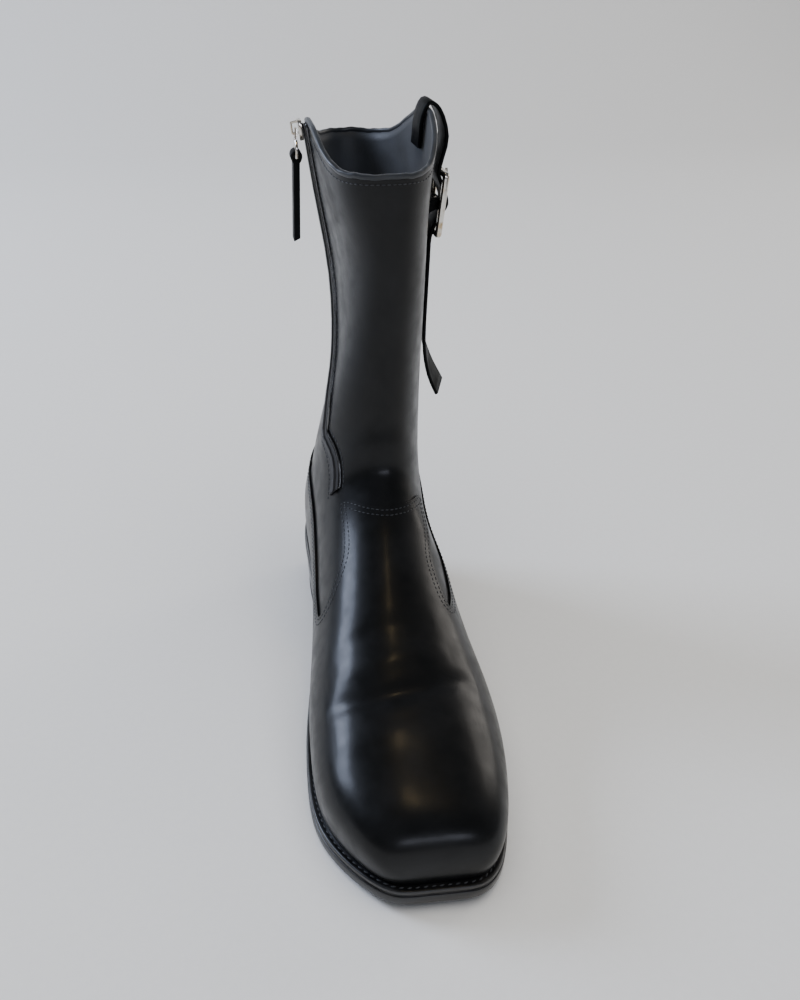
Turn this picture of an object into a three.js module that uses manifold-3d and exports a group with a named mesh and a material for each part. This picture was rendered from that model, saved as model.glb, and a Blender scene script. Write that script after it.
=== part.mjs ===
// A left ankle-to-calf boot with a square toe, a welted sole, a block heel, a zip on the inner side
// and a buckled strap that hangs over the outer side of the collar.
// Millimetres, +Z up. The toe points along -Y, the wearer's outer (lateral) side is +X.
// The origin is on the floor at the centre of the heel's tread, under the leg.
import * as THREE from "three";
import { mergeVertices } from "three/addons/utils/BufferGeometryUtils.js";
import Module from "manifold-3d";

const wasm = await Module();
wasm.setup();

// Driving dimensions
const UPPER_LENGTH = 271; // toe to heel at the feather line, where the upper meets the welt
const HEEL_BACK = 29.5; // from the tread's centre back to the feather line at the heel
const BALL_WIDTH = 92; // across the upper's feather line at the ball
const INSTEP_HEIGHT = 84; // from the feather line up to the bend of the ankle
const LEG_HEIGHT = 234; // from the heel seat up to the collar's front
const COLLAR_WIDTH = 64; // across the collar
const COLLAR_DEPTH = 126; // the collar from front to back
const OUTER_PEAK = 20; // how far the collar's outer side stands above its front and back
const INNER_PEAK = 15; // the same on the inner side
const WALL = 2.2; // leather with its lining
const OVERLAY = 1.2; // how far the vamp and the counter stand proud of the shaft
const HEEL_HEIGHT = 33; // floor to the outsole at the middle of the heel
const HEEL_CAP = 6; // rubber top piece under the heel
const SEAT_SLOPE = 0.06; // the heel seat rises this much towards the back
const TOE_SPRING = 5; // the outsole's tip above the floor
const OUTSOLE = 5.5;
const WELT = 3;
const WELT_REACH = 5; // how far the welt stands out beyond the upper
const EDGE_BEVEL = 1.2;
const INSOLE = 5.2;
const ZIP_TAPE = 8.4; // width of the zip's tape that shows
const ZIP_TEETH = 3; // width of the row of teeth
const ZIP_STEP = 0.8; // thickness of the tape, and again of the teeth on it
const ZIP_LIFT = 0.5; // the tape keeps clear of the shaft's flat facets
const SLIDER_WIDTH = 8.5;
const SLIDER_LENGTH = 10;
const SLIDER_THICKNESS = 2;
const BRIDGE_WIDTH = 2.2; // the slider's bridge, which the puller hangs on
const BRIDGE_OPENING = 4.6;
const BRIDGE_HEIGHT = 2.8;
const BRIDGE_BAR = 1;
const BRIDGE_PLACE = 1.5; // the bridge's middle above the slider's middle
const PULLER_LENGTH = 14;
const PULLER_WIDTH = 13;
const PULLER_THICKNESS = 1.4;
const PULLER_BAR = 1.5; // the puller's cross bars
const TAB_WIDTH = 10;
const TAB_LENGTH = 44; // below the puller
const TAB_LEATHER = 1.7; // one of the tab's two layers
const STRAP_WIDTH = 18;
const STRAP_THICKNESS = 2;
const STRAP_RISE = 3.4; // the strap's top above the collar's outer peak
const STRAP_BULGE = 3; // how far it bows outwards above the buckle
const BUCKLE_DROP = 47; // from the collar's outer peak down to the buckle's middle
const BUCKLE_HEIGHT = 34;
const BUCKLE_BAR = 3.2; // thickness of the frame
const BUCKLE_LEAN = 2.4; // the frame's top stands this much further out than its bottom
const BUCKLE_OUT = 10.4; // the frame's middle from the shaft's outer face
const CENTRE_BAR = 2; // diameter of the bar across the frame's middle
const PRONG = 1.6; // diameter of the prong
const CHAPE_THICKNESS = 1.2;
const TAIL_LENGTH = 94; // the strap's free end below the buckle
const TAIL_SWING = 13; // how far the tip hangs out from the shaft
const TAIL_TWIST = 24; // degrees that the tip turns its inner side to the front
const GAP = 0.3; // what touching pieces keep between them
const HEEL_REACH = 0.5; // share of the welt's reach that is left at the waist and the heel
const WAIST = 0.25; // the welt widens from here, a share of the upper's length from the heel,
const FOREPART = 0.65; // up to here
const OUTSOLE_STEP = 0.4; // how far the outsole's edge stands out beyond the welt's
const HEEL_TAPER = 3; // how far the heel draws in towards the floor
const LEVEL_HEIGHT = 8; // the wall's lowest stretch, which stands square on the welt
const MERGE = 1e-4; // points closer than this are one
const STEP = 0.02; // a short step along a section or from one section to the next
const SLIVER = 0.03; // faces narrower than this are taken out where cut pieces meet

// Where the sole turns, as shares of the upper's length from the heel
const BREAST = 0.215; // the heel's front face
const SHANK_END = 0.635; // the back of the flat tread
const SPRING_START = 0.8; // the front of the flat tread

const X_AXIS = new THREE.Vector3(1, 0, 0);
const Y_AXIS = new THREE.Vector3(0, 1, 0);
const Z_AXIS = new THREE.Vector3(0, 0, 1);

const clamp = (v, low, high) => Math.min(high, Math.max(low, v));
const mix = (a, b, t) => a + (b - a) * t;
const ease = (t) => t * t * (3 - 2 * t);

// A uniform cubic B-spline through a column of a table. It passes through the first and last values.
function spline(values, s) {
  const last = values.length - 1;
  const at = (i) => {
    if (i < 0) return 2 * values[0] - values[1];
    if (i > last) return 2 * values[last] - values[last - 1];
    return values[i];
  };
  const i = clamp(Math.floor(s), 0, last - 1);
  const t = s - i;
  const u = 1 - t;
  return (
    (u ** 3 * at(i - 1) +
      (3 * t ** 3 - 6 * t ** 2 + 4) * at(i) +
      (3 * u ** 3 - 6 * u ** 2 + 4) * at(i + 1) +
      t ** 3 * at(i + 2)) /
    6
  );
}

// A table with named columns becomes one array for each column.
function columns(names, rows) {
  return Object.fromEntries(names.map((name, i) => [name, rows.map((row) => row[i])]));
}

const along = (share) => HEEL_BACK - share * UPPER_LENGTH;

// The outsole's underside: toe spring, flat tread, shank and a straight heel seat.
function soleBottom(y) {
  const breast = along(BREAST);
  const shankEnd = along(SHANK_END);
  const spring = along(SPRING_START);
  const tip = along(1) - WELT_REACH;
  const seat = (at) => HEEL_HEIGHT + SEAT_SLOPE * at;
  if (y >= breast) return seat(y);
  if (y >= shankEnd) {
    const span = breast - shankEnd;
    const t = (y - shankEnd) / span;
    return seat(breast) * ease(t) + SEAT_SLOPE * span * (t ** 3 - t ** 2);
  }
  if (y >= spring) return 0;
  return TOE_SPRING * ((spring - y) / (spring - tip)) ** 2;
}

const weltTop = (y) => soleBottom(y) + OUTSOLE + GAP + WELT;
const feather = (y) => weltTop(y) + GAP;
const SEAT = feather(0);

// The foot's sections, from the toe's edge back to the heel. The base columns run along the feather
// line, and the ridge columns along the vamp and instep. Lengths are shares of the upper's length,
// widths of the ball width and heights of the instep height.
const FOOT = columns(
  ["base", "outer", "inner", "ridge", "rise"],
  [
    [1.0, 0.109, -0.054, 1.0, 0.0],
    [1.0, 0.205, -0.165, 1.004, 0.079],
    [0.985, 0.268, -0.232, 1.0, 0.212],
    [0.958, 0.328, -0.305, 0.979, 0.329],
    [0.915, 0.382, -0.39, 0.938, 0.4],
    [0.865, 0.432, -0.455, 0.879, 0.461],
    [0.808, 0.484, -0.478, 0.804, 0.532],
    [0.745, 0.52, -0.472, 0.718, 0.627],
    [0.67, 0.522, -0.455, 0.632, 0.746],
    [0.59, 0.49, -0.424, 0.55, 0.842],
    [0.498, 0.455, -0.375, 0.479, 0.893],
    [0.394, 0.418, -0.332, 0.427, 0.933],
    [0.282, 0.353, -0.31, 0.392, 0.994],
  ],
);

// The heel's feather line closes behind the foot, while the front line has already turned up the
// shaft. Its widths are shares of the ball width.
const HEEL = columns(
  ["base", "outer", "inner"],
  [
    [0.195, 0.335, -0.315],
    [0.11, 0.328, -0.315],
    [0.03, 0.285, -0.28],
    [0.0, 0.16, -0.16],
    [0.0, 0.0, 0.0],
  ],
);

// The shaft's front line above the ankle: forward as a share of the collar's depth, and up from the
// seat as a share of the leg's height.
const SHIN = columns(
  ["forward", "up"],
  [
    [0.548, 0.334],
    [0.52, 0.381],
    [0.508, 0.428],
    [0.5, 0.475],
    [0.496, 0.526],
    [0.492, 0.585],
    [0.488, 0.654],
    [0.488, 0.726],
    [0.49, 0.798],
    [0.494, 0.871],
    [0.498, 0.938],
    [0.502, 1.0],
  ],
);

// The back line, from the heel's feather line up to the collar, in the same shares.
const BACK = columns(
  ["behind", "up"],
  [
    [0.234, 0.0],
    [0.264, 0.04],
    [0.289, 0.12],
    [0.29, 0.235],
    [0.276, 0.385],
    [0.317, 0.575],
    [0.405, 0.785],
    [0.498, 1.0],
  ],
);

// Each section's fullness: the widest points to the outer and inner side, the ridge's own offset, how
// high the widest point lies between base and ridge, and how square the section is towards the ridge
// and the base. Widths are shares of the ball width on the foot and of the collar's width on the leg.
const FULLNESS = ["outer", "inner", "offset", "belly", "squareTop", "squareBase"];
const FOOT_FULLNESS = columns(FULLNESS, [
  [0.109, -0.054, 0.03, 0.36, 3.2, 2.6],
  [0.225, -0.185, 0.03, 0.36, 3.2, 2.6],
  [0.295, -0.26, 0.03, 0.36, 3.1, 2.6],
  [0.355, -0.335, 0.02, 0.36, 2.9, 2.6],
  [0.405, -0.415, 0.0, 0.36, 2.7, 2.6],
  [0.452, -0.48, -0.02, 0.35, 2.5, 2.6],
  [0.496, -0.503, -0.03, 0.32, 2.25, 2.6],
  [0.526, -0.497, -0.03, 0.28, 2.05, 2.6],
  [0.53, -0.482, -0.02, 0.26, 1.95, 2.5],
  [0.5, -0.446, 0.0, 0.26, 1.9, 2.5],
  [0.467, -0.402, 0.02, 0.27, 1.9, 2.4],
  [0.446, -0.37, 0.04, 0.28, 1.9, 2.4],
  [0.391, -0.348, 0.065, 0.28, 1.9, 2.3],
]);
const LEG_FULLNESS = columns(FULLNESS, [
  [0.55, -0.49, 0.093, 0.29, 1.95, 2.3],
  [0.555, -0.485, 0.093, 0.3, 2.0, 2.3],
  [0.552, -0.475, 0.093, 0.32, 2.05, 2.3],
  [0.542, -0.46, 0.093, 0.34, 2.1, 2.3],
  [0.53, -0.44, 0.093, 0.37, 2.1, 2.3],
  [0.52, -0.41, 0.093, 0.41, 2.1, 2.25],
  [0.507, -0.35, 0.093, 0.44, 2.1, 2.2],
  [0.495, -0.27, 0.086, 0.47, 2.15, 2.15],
  [0.487, -0.235, 0.072, 0.49, 2.2, 2.1],
  [0.477, -0.24, 0.05, 0.5, 2.3, 2.1],
  [0.482, -0.37, 0.022, 0.5, 2.45, 2.1],
  [0.518, -0.46, 0.0, 0.5, 2.6, 2.1],
]);

const FOOT_ROWS = FOOT.base.length;
const CLOSED = FOOT_ROWS + HEEL.base.length - 1; // the section where the heel closes
const TOP = FOOT_ROWS + SHIN.up.length - 1; // the collar
const LIFT_START = CLOSED + 2; // above this section the sides start to rise towards the peaks

const BASE_Y = [...FOOT.base, ...HEEL.base].map(along);
const BASE_OUTER = [...FOOT.outer, ...HEEL.outer].map((v) => v * BALL_WIDTH);
const BASE_INNER = [...FOOT.inner, ...HEEL.inner].map((v) => v * BALL_WIDTH);
const RIDGE_Y = [...FOOT.ridge.map(along), ...SHIN.forward.map((v) => -v * COLLAR_DEPTH)];
const RIDGE_Z = [
  ...FOOT.rise.map((v, i) => feather(along(FOOT.ridge[i])) + v * INSTEP_HEIGHT),
  ...SHIN.up.map((v) => SEAT + v * LEG_HEIGHT),
];
const BACK_Y = BACK.behind.map((v, i) => (i ? v * COLLAR_DEPTH : HEEL_BACK));
const BACK_Z = BACK.up.map((v, i) => (i ? SEAT + v * LEG_HEIGHT : feather(HEEL_BACK)));
const shares = (name) => [
  ...FOOT_FULLNESS[name].map((v) => v * BALL_WIDTH),
  ...LEG_FULLNESS[name].map((v) => v * COLLAR_WIDTH),
];
const plain = (name) => [...FOOT_FULLNESS[name], ...LEG_FULLNESS[name]];
const BELLY_OUTER = shares("outer");
const BELLY_INNER = shares("inner");
const OFFSET_X = shares("offset");
const BELLY = plain("belly");
const SQUARE_TOP = plain("squareTop");
const SQUARE_BASE = plain("squareBase");

// The feather line's point at section s, on the side that sign names: +1 outer, -1 inner.
function featherPoint(s, sign) {
  const x = spline(sign > 0 ? BASE_OUTER : BASE_INNER, s);
  const y = spline(BASE_Y, s);
  return new THREE.Vector3(x, y, feather(y));
}

// The section's base in the shoe's middle plane: on the feather line, then on the back line.
function basePoint(s) {
  if (s <= CLOSED) {
    const y = spline(BASE_Y, s);
    return [y, feather(y)];
  }
  return [spline(BACK_Y, s - CLOSED), spline(BACK_Z, s - CLOSED)];
}

// A point of the upper's outer face. s runs from the toe's edge to the collar, and a from -1 at the
// inner side's base over 0 on the ridge to 1 at the outer side's base. On the leg -1 and 1 meet.
function face(s, a) {
  const [baseY, baseZ] = basePoint(s);
  const sign = a < 0 ? -1 : 1;
  const belly = spline(sign > 0 ? BELLY_OUTER : BELLY_INNER, s);
  const squareTop = spline(SQUARE_TOP, s);
  const squareBase = spline(SQUARE_BASE, s);
  const bellyShare = spline(BELLY, s);
  let middle = 0;
  let tuck = 0;
  if (s < CLOSED) {
    const outer = featherPoint(s, 1).x;
    const inner = featherPoint(s, -1).x;
    middle = (outer + inner) / 2;
    tuck = clamp(((sign > 0 ? outer : inner) - middle) / (belly - middle), 0, s > 0 ? 0.99 : 1);
  } else {
    middle = spline(OFFSET_X, s) * ease(clamp((s - CLOSED) / 2, 0, 1));
  }
  const end = Math.PI - Math.asin(tuck ** (squareBase / 2));
  const angle = Math.abs(a) * end;
  const square = angle < Math.PI / 2 ? squareTop : squareBase;
  const wide = Math.abs(Math.sin(angle)) ** (2 / square);
  const high = Math.abs(Math.cos(angle)) ** (2 / square);
  const lowest = Math.abs(Math.cos(end)) ** (2 / squareBase);
  const upper = angle < Math.PI / 2;
  const share = upper ? mix(bellyShare, 1, high) : bellyShare * (1 - high / lowest);
  const centre = upper ? spline(OFFSET_X, s) : middle;
  const x = mix(centre, belly, wide);
  const peak = sign > 0 ? OUTER_PEAK : INNER_PEAK;
  const lift = peak * Math.sin(Math.PI * Math.abs(a)) ** 6;
  const rise = lift * ease(clamp((s - LIFT_START) / (TOP - LIFT_START), 0, 1));
  return new THREE.Vector3(
    x,
    mix(baseY, spline(RIDGE_Y, s), share),
    mix(baseZ, spline(RIDGE_Z, s), share) + rise,
  );
}

// The level outward direction of the feather line, from two short steps along it.
function featherOut(s, sign) {
  if (s === CLOSED) return new THREE.Vector3(0, 1, 0);
  const ahead = featherPoint(Math.min(s + STEP, CLOSED), sign);
  const behind = featherPoint(Math.max(s - STEP, 0), sign);
  const travel = ahead.sub(behind).multiplyScalar(sign);
  return new THREE.Vector3(travel.y, -travel.x, 0).normalize();
}

// The outer face's outward direction at a point. Close above the feather line it is turned level, so
// that the wall stands on the welt with a flat edge.
function outward(s, a) {
  if (s === 0) return new THREE.Vector3(0, -1, 0);
  if (s < CLOSED && Math.abs(a) === 1) return featherOut(s, a);
  const along = face(Math.min(s + STEP, TOP), a).sub(face(Math.max(s - STEP, 0), a));
  const across = face(s, Math.min(a + STEP, 1)).sub(face(s, Math.max(a - STEP, -1)));
  if (s >= CLOSED && Math.abs(a) === 1) across.set(-1, 0, 0);
  const normal = across.cross(along).normalize();
  const point = face(s, a);
  normal.z *= ease(clamp((point.z - feather(point.y)) / LEVEL_HEIGHT, 0, 1));
  return normal.normalize();
}

// The same point, moved out of the face by a distance, or into the wall when it is negative.
const shell = (s, a, distance) => face(s, a).addScaledVector(outward(s, a), distance);

const steps = (from, to, count) => Array.from({ length: count + 1 }, (_, i) => mix(from, to, i / count));

// A closed body from its points and its faces, each face a list of three or four points' numbers.
function body(points, faces) {
  const geometry = new THREE.BufferGeometry();
  const index = faces.flatMap((f) => f.slice(2).flatMap((_, k) => [f[0], f[k + 1], f[k + 2]]));
  const position = points.flatMap((p) => [p.x, p.y, p.z]);
  geometry.setAttribute("position", new THREE.Float32BufferAttribute(position, 3));
  geometry.setIndex(index);
  return closed(geometry);
}

// Points that coincide become one, and the triangles that this flattens are dropped.
function closed(source) {
  const bare = source.clone();
  bare.deleteAttribute("normal");
  bare.deleteAttribute("uv");
  const geometry = mergeVertices(bare, MERGE);
  const old = geometry.index.array;
  const kept = [];
  for (let i = 0; i < old.length; i += 3) {
    const [a, b, c] = [old[i], old[i + 1], old[i + 2]];
    if (a !== b && b !== c && c !== a) kept.push(a, b, c);
  }
  geometry.setIndex(kept);
  return geometry;
}

// Rings of the same number of points, joined one to the next. A turned stack closes on itself, and
// any other gets a lid of cross strips at both ends.
function stack(rings, turned = false) {
  const size = rings[0].length;
  const faces = [];
  const last = turned ? rings.length : rings.length - 1;
  for (let r = 0; r < last; r += 1) {
    const low = r * size;
    const high = ((r + 1) % rings.length) * size;
    for (let i = 0; i < size; i += 1) {
      const j = (i + 1) % size;
      faces.push([low + i, low + j, high + j, high + i]);
    }
  }
  if (!turned) {
    const top = (rings.length - 1) * size;
    for (let i = 0; i < size - 2 - i; i += 1) {
      const strip = [i, i + 1, size - 2 - i, size - 1 - i];
      faces.push(strip.map((k) => top + k));
      faces.push(strip.reverse());
    }
  }
  return body(rings.flat(), faces);
}

// The feather line as a ring seen from above, from section `first` on the outer side round the heel
// and back on the inner side, moved outwards by reach(y) and lifted to height(y).
function outline(first, reach, height) {
  const sections = ROWS.filter((s) => s > first && s < CLOSED);
  const outer = [first, ...sections].map((s) => [s, 1]);
  const inner = outer.map(([s]) => [s, -1]).reverse();
  return [...outer, [CLOSED, 1], ...inner].map(([s, sign]) => {
    const point = featherPoint(s, sign);
    const moved = point.clone().addScaledVector(featherOut(s, sign), reach(point.y));
    return moved.setZ(height(moved.y));
  });
}

// The welt stands out most around the forefoot and least at the waist and the heel.
function weltReach(y) {
  const share = (HEEL_BACK - y) / UPPER_LENGTH;
  return WELT_REACH * mix(HEEL_REACH, 1, ease(clamp((share - WAIST) / (FOREPART - WAIST), 0, 1)));
}

function outsole() {
  const edge = (y) => weltReach(y) + OUTSOLE_STEP;
  const inset = (y) => edge(y) - EDGE_BEVEL;
  return stack([
    outline(0, inset, soleBottom),
    outline(0, edge, (y) => soleBottom(y) + EDGE_BEVEL),
    outline(0, edge, (y) => soleBottom(y) + OUTSOLE - EDGE_BEVEL / 2),
    outline(0, (y) => edge(y) - EDGE_BEVEL / 2, (y) => soleBottom(y) + OUTSOLE),
  ]);
}

function welt() {
  const bottom = (y) => soleBottom(y) + OUTSOLE + GAP;
  const inside = () => -(WALL + GAP);
  return stack(
    [
      outline(0, weltReach, bottom),
      outline(0, weltReach, (y) => weltTop(y) - EDGE_BEVEL / 2),
      outline(0, (y) => weltReach(y) - EDGE_BEVEL / 2, weltTop),
      outline(0, inside, weltTop),
      outline(0, inside, bottom),
    ],
    true,
  );
}

function insole() {
  const inside = () => -(WALL + 4 * GAP);
  const bottom = (y) => soleBottom(y) + OUTSOLE + GAP;
  return stack([
    outline(0, inside, bottom),
    outline(0, inside, (y) => bottom(y) + INSOLE),
  ]);
}

// The section of the feather line that lies at the heel's front face.
function breastSection() {
  let [low, high] = [0, CLOSED];
  for (let i = 0; i < 40; i += 1) {
    const middle = (low + high) / 2;
    if (spline(BASE_Y, middle) < along(BREAST)) low = middle;
    else high = middle;
  }
  return low;
}

function heelRing(inset, height) {
  return outline(breastSection(), (y) => weltReach(y) + OUTSOLE_STEP - inset, height);
}

function heelBlock() {
  return stack([
    heelRing(HEEL_TAPER, () => HEEL_CAP + GAP),
    heelRing(HEEL_TAPER * 0.6, (y) => mix(HEEL_CAP + GAP, soleBottom(y) - GAP, 0.45)),
    heelRing(EDGE_BEVEL / 2, (y) => soleBottom(y) - GAP),
  ]);
}

function heelTopPiece() {
  return stack([
    heelRing(HEEL_TAPER + EDGE_BEVEL / 2, () => 0),
    heelRing(HEEL_TAPER, () => EDGE_BEVEL / 2),
    heelRing(HEEL_TAPER, () => HEEL_CAP),
  ]);
}

// The wall between two distances from the outer face, over the whole upper: open at the collar and
// along the feather line, where it can reach a little lower.
function wall(outside, inside, drop = 0) {
  const points = [];
  const faces = [];
  const number = (layer, i, j) => (layer * ROWS.length + i) * COLUMNS.length + j;
  for (const distance of [outside, inside]) {
    for (const s of ROWS) {
      for (const a of COLUMNS) {
        const onFeather = s === 0 || (s <= CLOSED && Math.abs(a) === 1);
        points.push(shell(s, a, distance).addScaledVector(Z_AXIS, onFeather ? -drop : 0));
      }
    }
  }
  const [top, side] = [ROWS.length - 1, COLUMNS.length - 1];
  for (let i = 0; i < top; i += 1) {
    for (let j = 0; j < side; j += 1) {
      const quad = (layer) => [
        number(layer, i, j),
        number(layer, i, j + 1),
        number(layer, i + 1, j + 1),
        number(layer, i + 1, j),
      ];
      faces.push(quad(0), quad(1).reverse());
    }
  }
  const heel = ROWS.indexOf(CLOSED);
  const bottom = [
    ...ROWS.slice(0, heel + 1).map((_, i) => [i, side]),
    ...ROWS.slice(0, heel).map((_, i) => [heel - 1 - i, 0]),
    ...COLUMNS.slice(1).map((_, j) => [0, j + 1]),
  ];
  const collar = COLUMNS.map((_, j) => [top, side - j]);
  for (const rim of [bottom, collar]) {
    for (let k = 0; k < rim.length - 1; k += 1) {
      const [here, next] = [rim[k], rim[k + 1]];
      faces.push([number(0, ...next), number(0, ...here), number(1, ...here), number(1, ...next)]);
    }
  }
  return body(points, faces);
}

const ROWS = [...steps(0, CLOSED, 24), ...steps(CLOSED, TOP, 9).slice(1)];
const COLUMNS = steps(-1, 1, 36);

// Where the vamp and the counter end on the shaft, seen from the side. The upper line runs from the
// front of the tongue round its corner down to the point between vamp and counter, and the lower line
// from there up to the back of the heel: shares of the upper's length from the heel, and of the
// instep's height above the seat.
const EDGE = ["along", "up"];
const OUTER_TONGUE = columns(EDGE, [
  [0.41, 0.775],
  [0.355, 0.745],
  [0.345, 0.69],
  [0.39, 0.59],
  [0.462, 0.5],
  [0.505, 0.42],
  [0.54, 0.345],
  [0.552, 0.3],
]);
const OUTER_COUNTER = columns(EDGE, [
  [0.552, 0.3],
  [0.49, 0.3],
  [0.41, 0.37],
  [0.31, 0.5],
  [0.2, 0.63],
  [0.1, 0.7],
  [-0.1, 0.72],
]);
const INNER_TONGUE = columns(EDGE, [
  [0.41, 0.775],
  [0.362, 0.76],
  [0.36, 0.69],
  [0.448, 0.52],
  [0.495, 0.35],
  [0.512, 0.24],
  [0.505, 0.165],
]);
const INNER_COUNTER = columns(EDGE, [
  [0.505, 0.165],
  [0.43, 0.2],
  [0.33, 0.34],
  [0.24, 0.5],
  [0.15, 0.62],
  [0.06, 0.7],
  [-0.1, 0.72],
]);

const solid = (geometry) => {
  const triVerts = new Uint32Array(geometry.index.array);
  const vertProperties = new Float32Array(geometry.attributes.position.array);
  return new wasm.Manifold(new wasm.Mesh({ numProp: 3, vertProperties, triVerts }));
};

function geometryOf(manifold) {
  const mesh = manifold.getMesh();
  const geometry = new THREE.BufferGeometry();
  geometry.setAttribute("position", new THREE.BufferAttribute(mesh.vertProperties, 3));
  geometry.setIndex(new THREE.BufferAttribute(mesh.triVerts, 1));
  return geometry;
}

// An outline drawn in the side view, as wide as one side of the shoe.
function sidePrism(tongue, counter, sign) {
  const place = (table) =>
    table.along.map((v, i) => new THREE.Vector2(along(v), SEAT + table.up[i] * INSTEP_HEIGHT));
  const upper = place(tongue);
  const lower = place(counter);
  const shape = new THREE.Shape();
  shape.moveTo(along(1.1), -SEAT);
  shape.lineTo(along(1.1), upper[0].y);
  shape.lineTo(upper[0].x, upper[0].y);
  shape.splineThru(upper.slice(1));
  shape.splineThru(lower.slice(1));
  shape.lineTo(along(-0.1), -SEAT);
  const options = { depth: BALL_WIDTH, bevelEnabled: false, curveSegments: 14 };
  const prism = new THREE.ExtrudeGeometry(shape, options);
  if (sign < 0) prism.translate(0, 0, -BALL_WIDTH);
  const axes = new THREE.Matrix4().makeBasis(Y_AXIS, Z_AXIS, X_AXIS);
  return solid(closed(prism.applyMatrix4(axes)));
}

// The shaft's wall, with the vamp and the counter as one raised layer with a clean edge.
function upper() {
  const shaft = solid(wall(0, -WALL));
  const layer = solid(wall(OVERLAY, -WALL / 2, GAP / 4));
  const outer = layer.intersect(sidePrism(OUTER_TONGUE, OUTER_COUNTER, 1));
  const inner = layer.intersect(sidePrism(INNER_TONGUE, INNER_COUNTER, -1));
  return geometryOf(shaft.add(outer).add(inner).asOriginal().simplify(SLIVER));
}

// The zip's way from the collar's inner peak down to the tongue's corner: section and place around it.
const ZIP = columns(
  ["section", "around"],
  [
    [23.95, -0.52],
    [23, -0.535],
    [22.1, -0.53],
    [21.2, -0.49],
    [20.3, -0.43],
    [19.3, -0.37],
    [18.2, -0.33],
    [17, -0.32],
    [15.6, -0.335],
    [14.3, -0.37],
    [13.2, -0.4],
  ],
);
const SLIDER_PLACE = 0.08; // along the zip's way, just under the collar
const ZIP_STRIPS = 22;
const zipAt = (t) => [spline(ZIP.section, t), spline(ZIP.around, t)];

// A strip that follows the outer face, from a profile of [across, above] in millimetres.
function strip(way, count, profile) {
  const rings = steps(0, ZIP.section.length - 1, count).map((t) => {
    const [s, a] = way(t);
    const wide = face(s, a + STEP).distanceTo(face(s, a - STEP)) / (2 * STEP);
    return profile.map(([across, above]) => shell(s, a + across / wide, above));
  });
  return stack(rings);
}

function zipTape() {
  const half = ZIP_TAPE / 2;
  const over = ZIP_LIFT + ZIP_STEP;
  return strip(zipAt, ZIP_STRIPS, [
    [-half, over],
    [-half, ZIP_LIFT],
    [0, ZIP_LIFT],
    [half, ZIP_LIFT],
    [half, over],
    [0, over],
  ]);
}

function zipTeeth() {
  const half = ZIP_TEETH / 2;
  const low = ZIP_LIFT + GAP + ZIP_STEP;
  const over = low + ZIP_STEP;
  return strip(zipAt, ZIP_STRIPS, [
    [-half * 0.8, over],
    [-half, low],
    [half, low],
    [half * 0.8, over],
  ]);
}

// A flat piece of a given thickness, centred on the plane of its outline, with small bevels.
function plate(shape, thickness, bevel = 0.2) {
  const options = {
    depth: thickness - 2 * bevel,
    bevelEnabled: true,
    bevelSegments: 1,
    bevelThickness: bevel,
    bevelSize: bevel,
    bevelOffset: -bevel,
    curveSegments: 4,
  };
  return closed(new THREE.ExtrudeGeometry(shape, options).translate(0, 0, bevel - thickness / 2));
}

// A rectangle with round corners between two corner points, as a shape or as a hole.
function rounded(Kind, x0, y0, x1, y1, radius) {
  const shape = new Kind();
  shape.moveTo(x0 + radius, y0);
  shape.lineTo(x1 - radius, y0);
  shape.quadraticCurveTo(x1, y0, x1, y0 + radius);
  shape.lineTo(x1, y1 - radius);
  shape.quadraticCurveTo(x1, y1, x1 - radius, y1);
  shape.lineTo(x0 + radius, y1);
  shape.quadraticCurveTo(x0, y1, x0, y1 - radius);
  shape.lineTo(x0, y0 + radius);
  shape.quadraticCurveTo(x0, y0, x0 + radius, y0);
  return shape;
}

// Local axes of the zip's hardware: x runs across the zip, y up along it and z out of the shoe. The
// bridge is an arch over the slider's middle, open to both sides.
const BRIDGE_LENGTH = BRIDGE_OPENING + 2 * BRIDGE_BAR;
const PIVOT_RADIUS = Math.hypot(PULLER_BAR, PULLER_THICKNESS) / 2;
const PIVOT = new THREE.Vector3(
  0,
  BRIDGE_PLACE + PIVOT_RADIUS + GAP - BRIDGE_OPENING / 2,
  SLIDER_THICKNESS + PIVOT_RADIUS + GAP,
);

function zipSlider() {
  const half = SLIDER_WIDTH / 2;
  const base = new THREE.Shape();
  base.moveTo(-half * 0.55, -SLIDER_LENGTH / 2);
  base.lineTo(half * 0.55, -SLIDER_LENGTH / 2);
  base.quadraticCurveTo(half, -SLIDER_LENGTH / 4, half, SLIDER_LENGTH / 4);
  base.lineTo(half * 0.8, SLIDER_LENGTH / 2);
  base.lineTo(-half * 0.8, SLIDER_LENGTH / 2);
  base.lineTo(-half, SLIDER_LENGTH / 4);
  base.quadraticCurveTo(-half, -SLIDER_LENGTH / 4, -half * 0.55, -SLIDER_LENGTH / 2);
  const foot = plate(base, SLIDER_THICKNESS).translate(0, 0, SLIDER_THICKNESS / 2);
  const reach = BRIDGE_LENGTH / 2;
  const sink = SLIDER_THICKNESS / 2;
  const height = BRIDGE_HEIGHT + BRIDGE_BAR + sink;
  const arch = rounded(THREE.Shape, -reach, 0, reach, height, 1.2);
  const gate = BRIDGE_OPENING / 2;
  arch.holes.push(rounded(THREE.Path, -gate, sink / 2, gate, height - BRIDGE_BAR, 0.4));
  const turned = new THREE.Matrix4().makeBasis(Y_AXIS, Z_AXIS, X_AXIS);
  const bridge = plate(arch, BRIDGE_WIDTH, 0.15).applyMatrix4(turned).translate(0, BRIDGE_PLACE, sink);
  return geometryOf(solid(foot).add(solid(bridge)));
}

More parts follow.
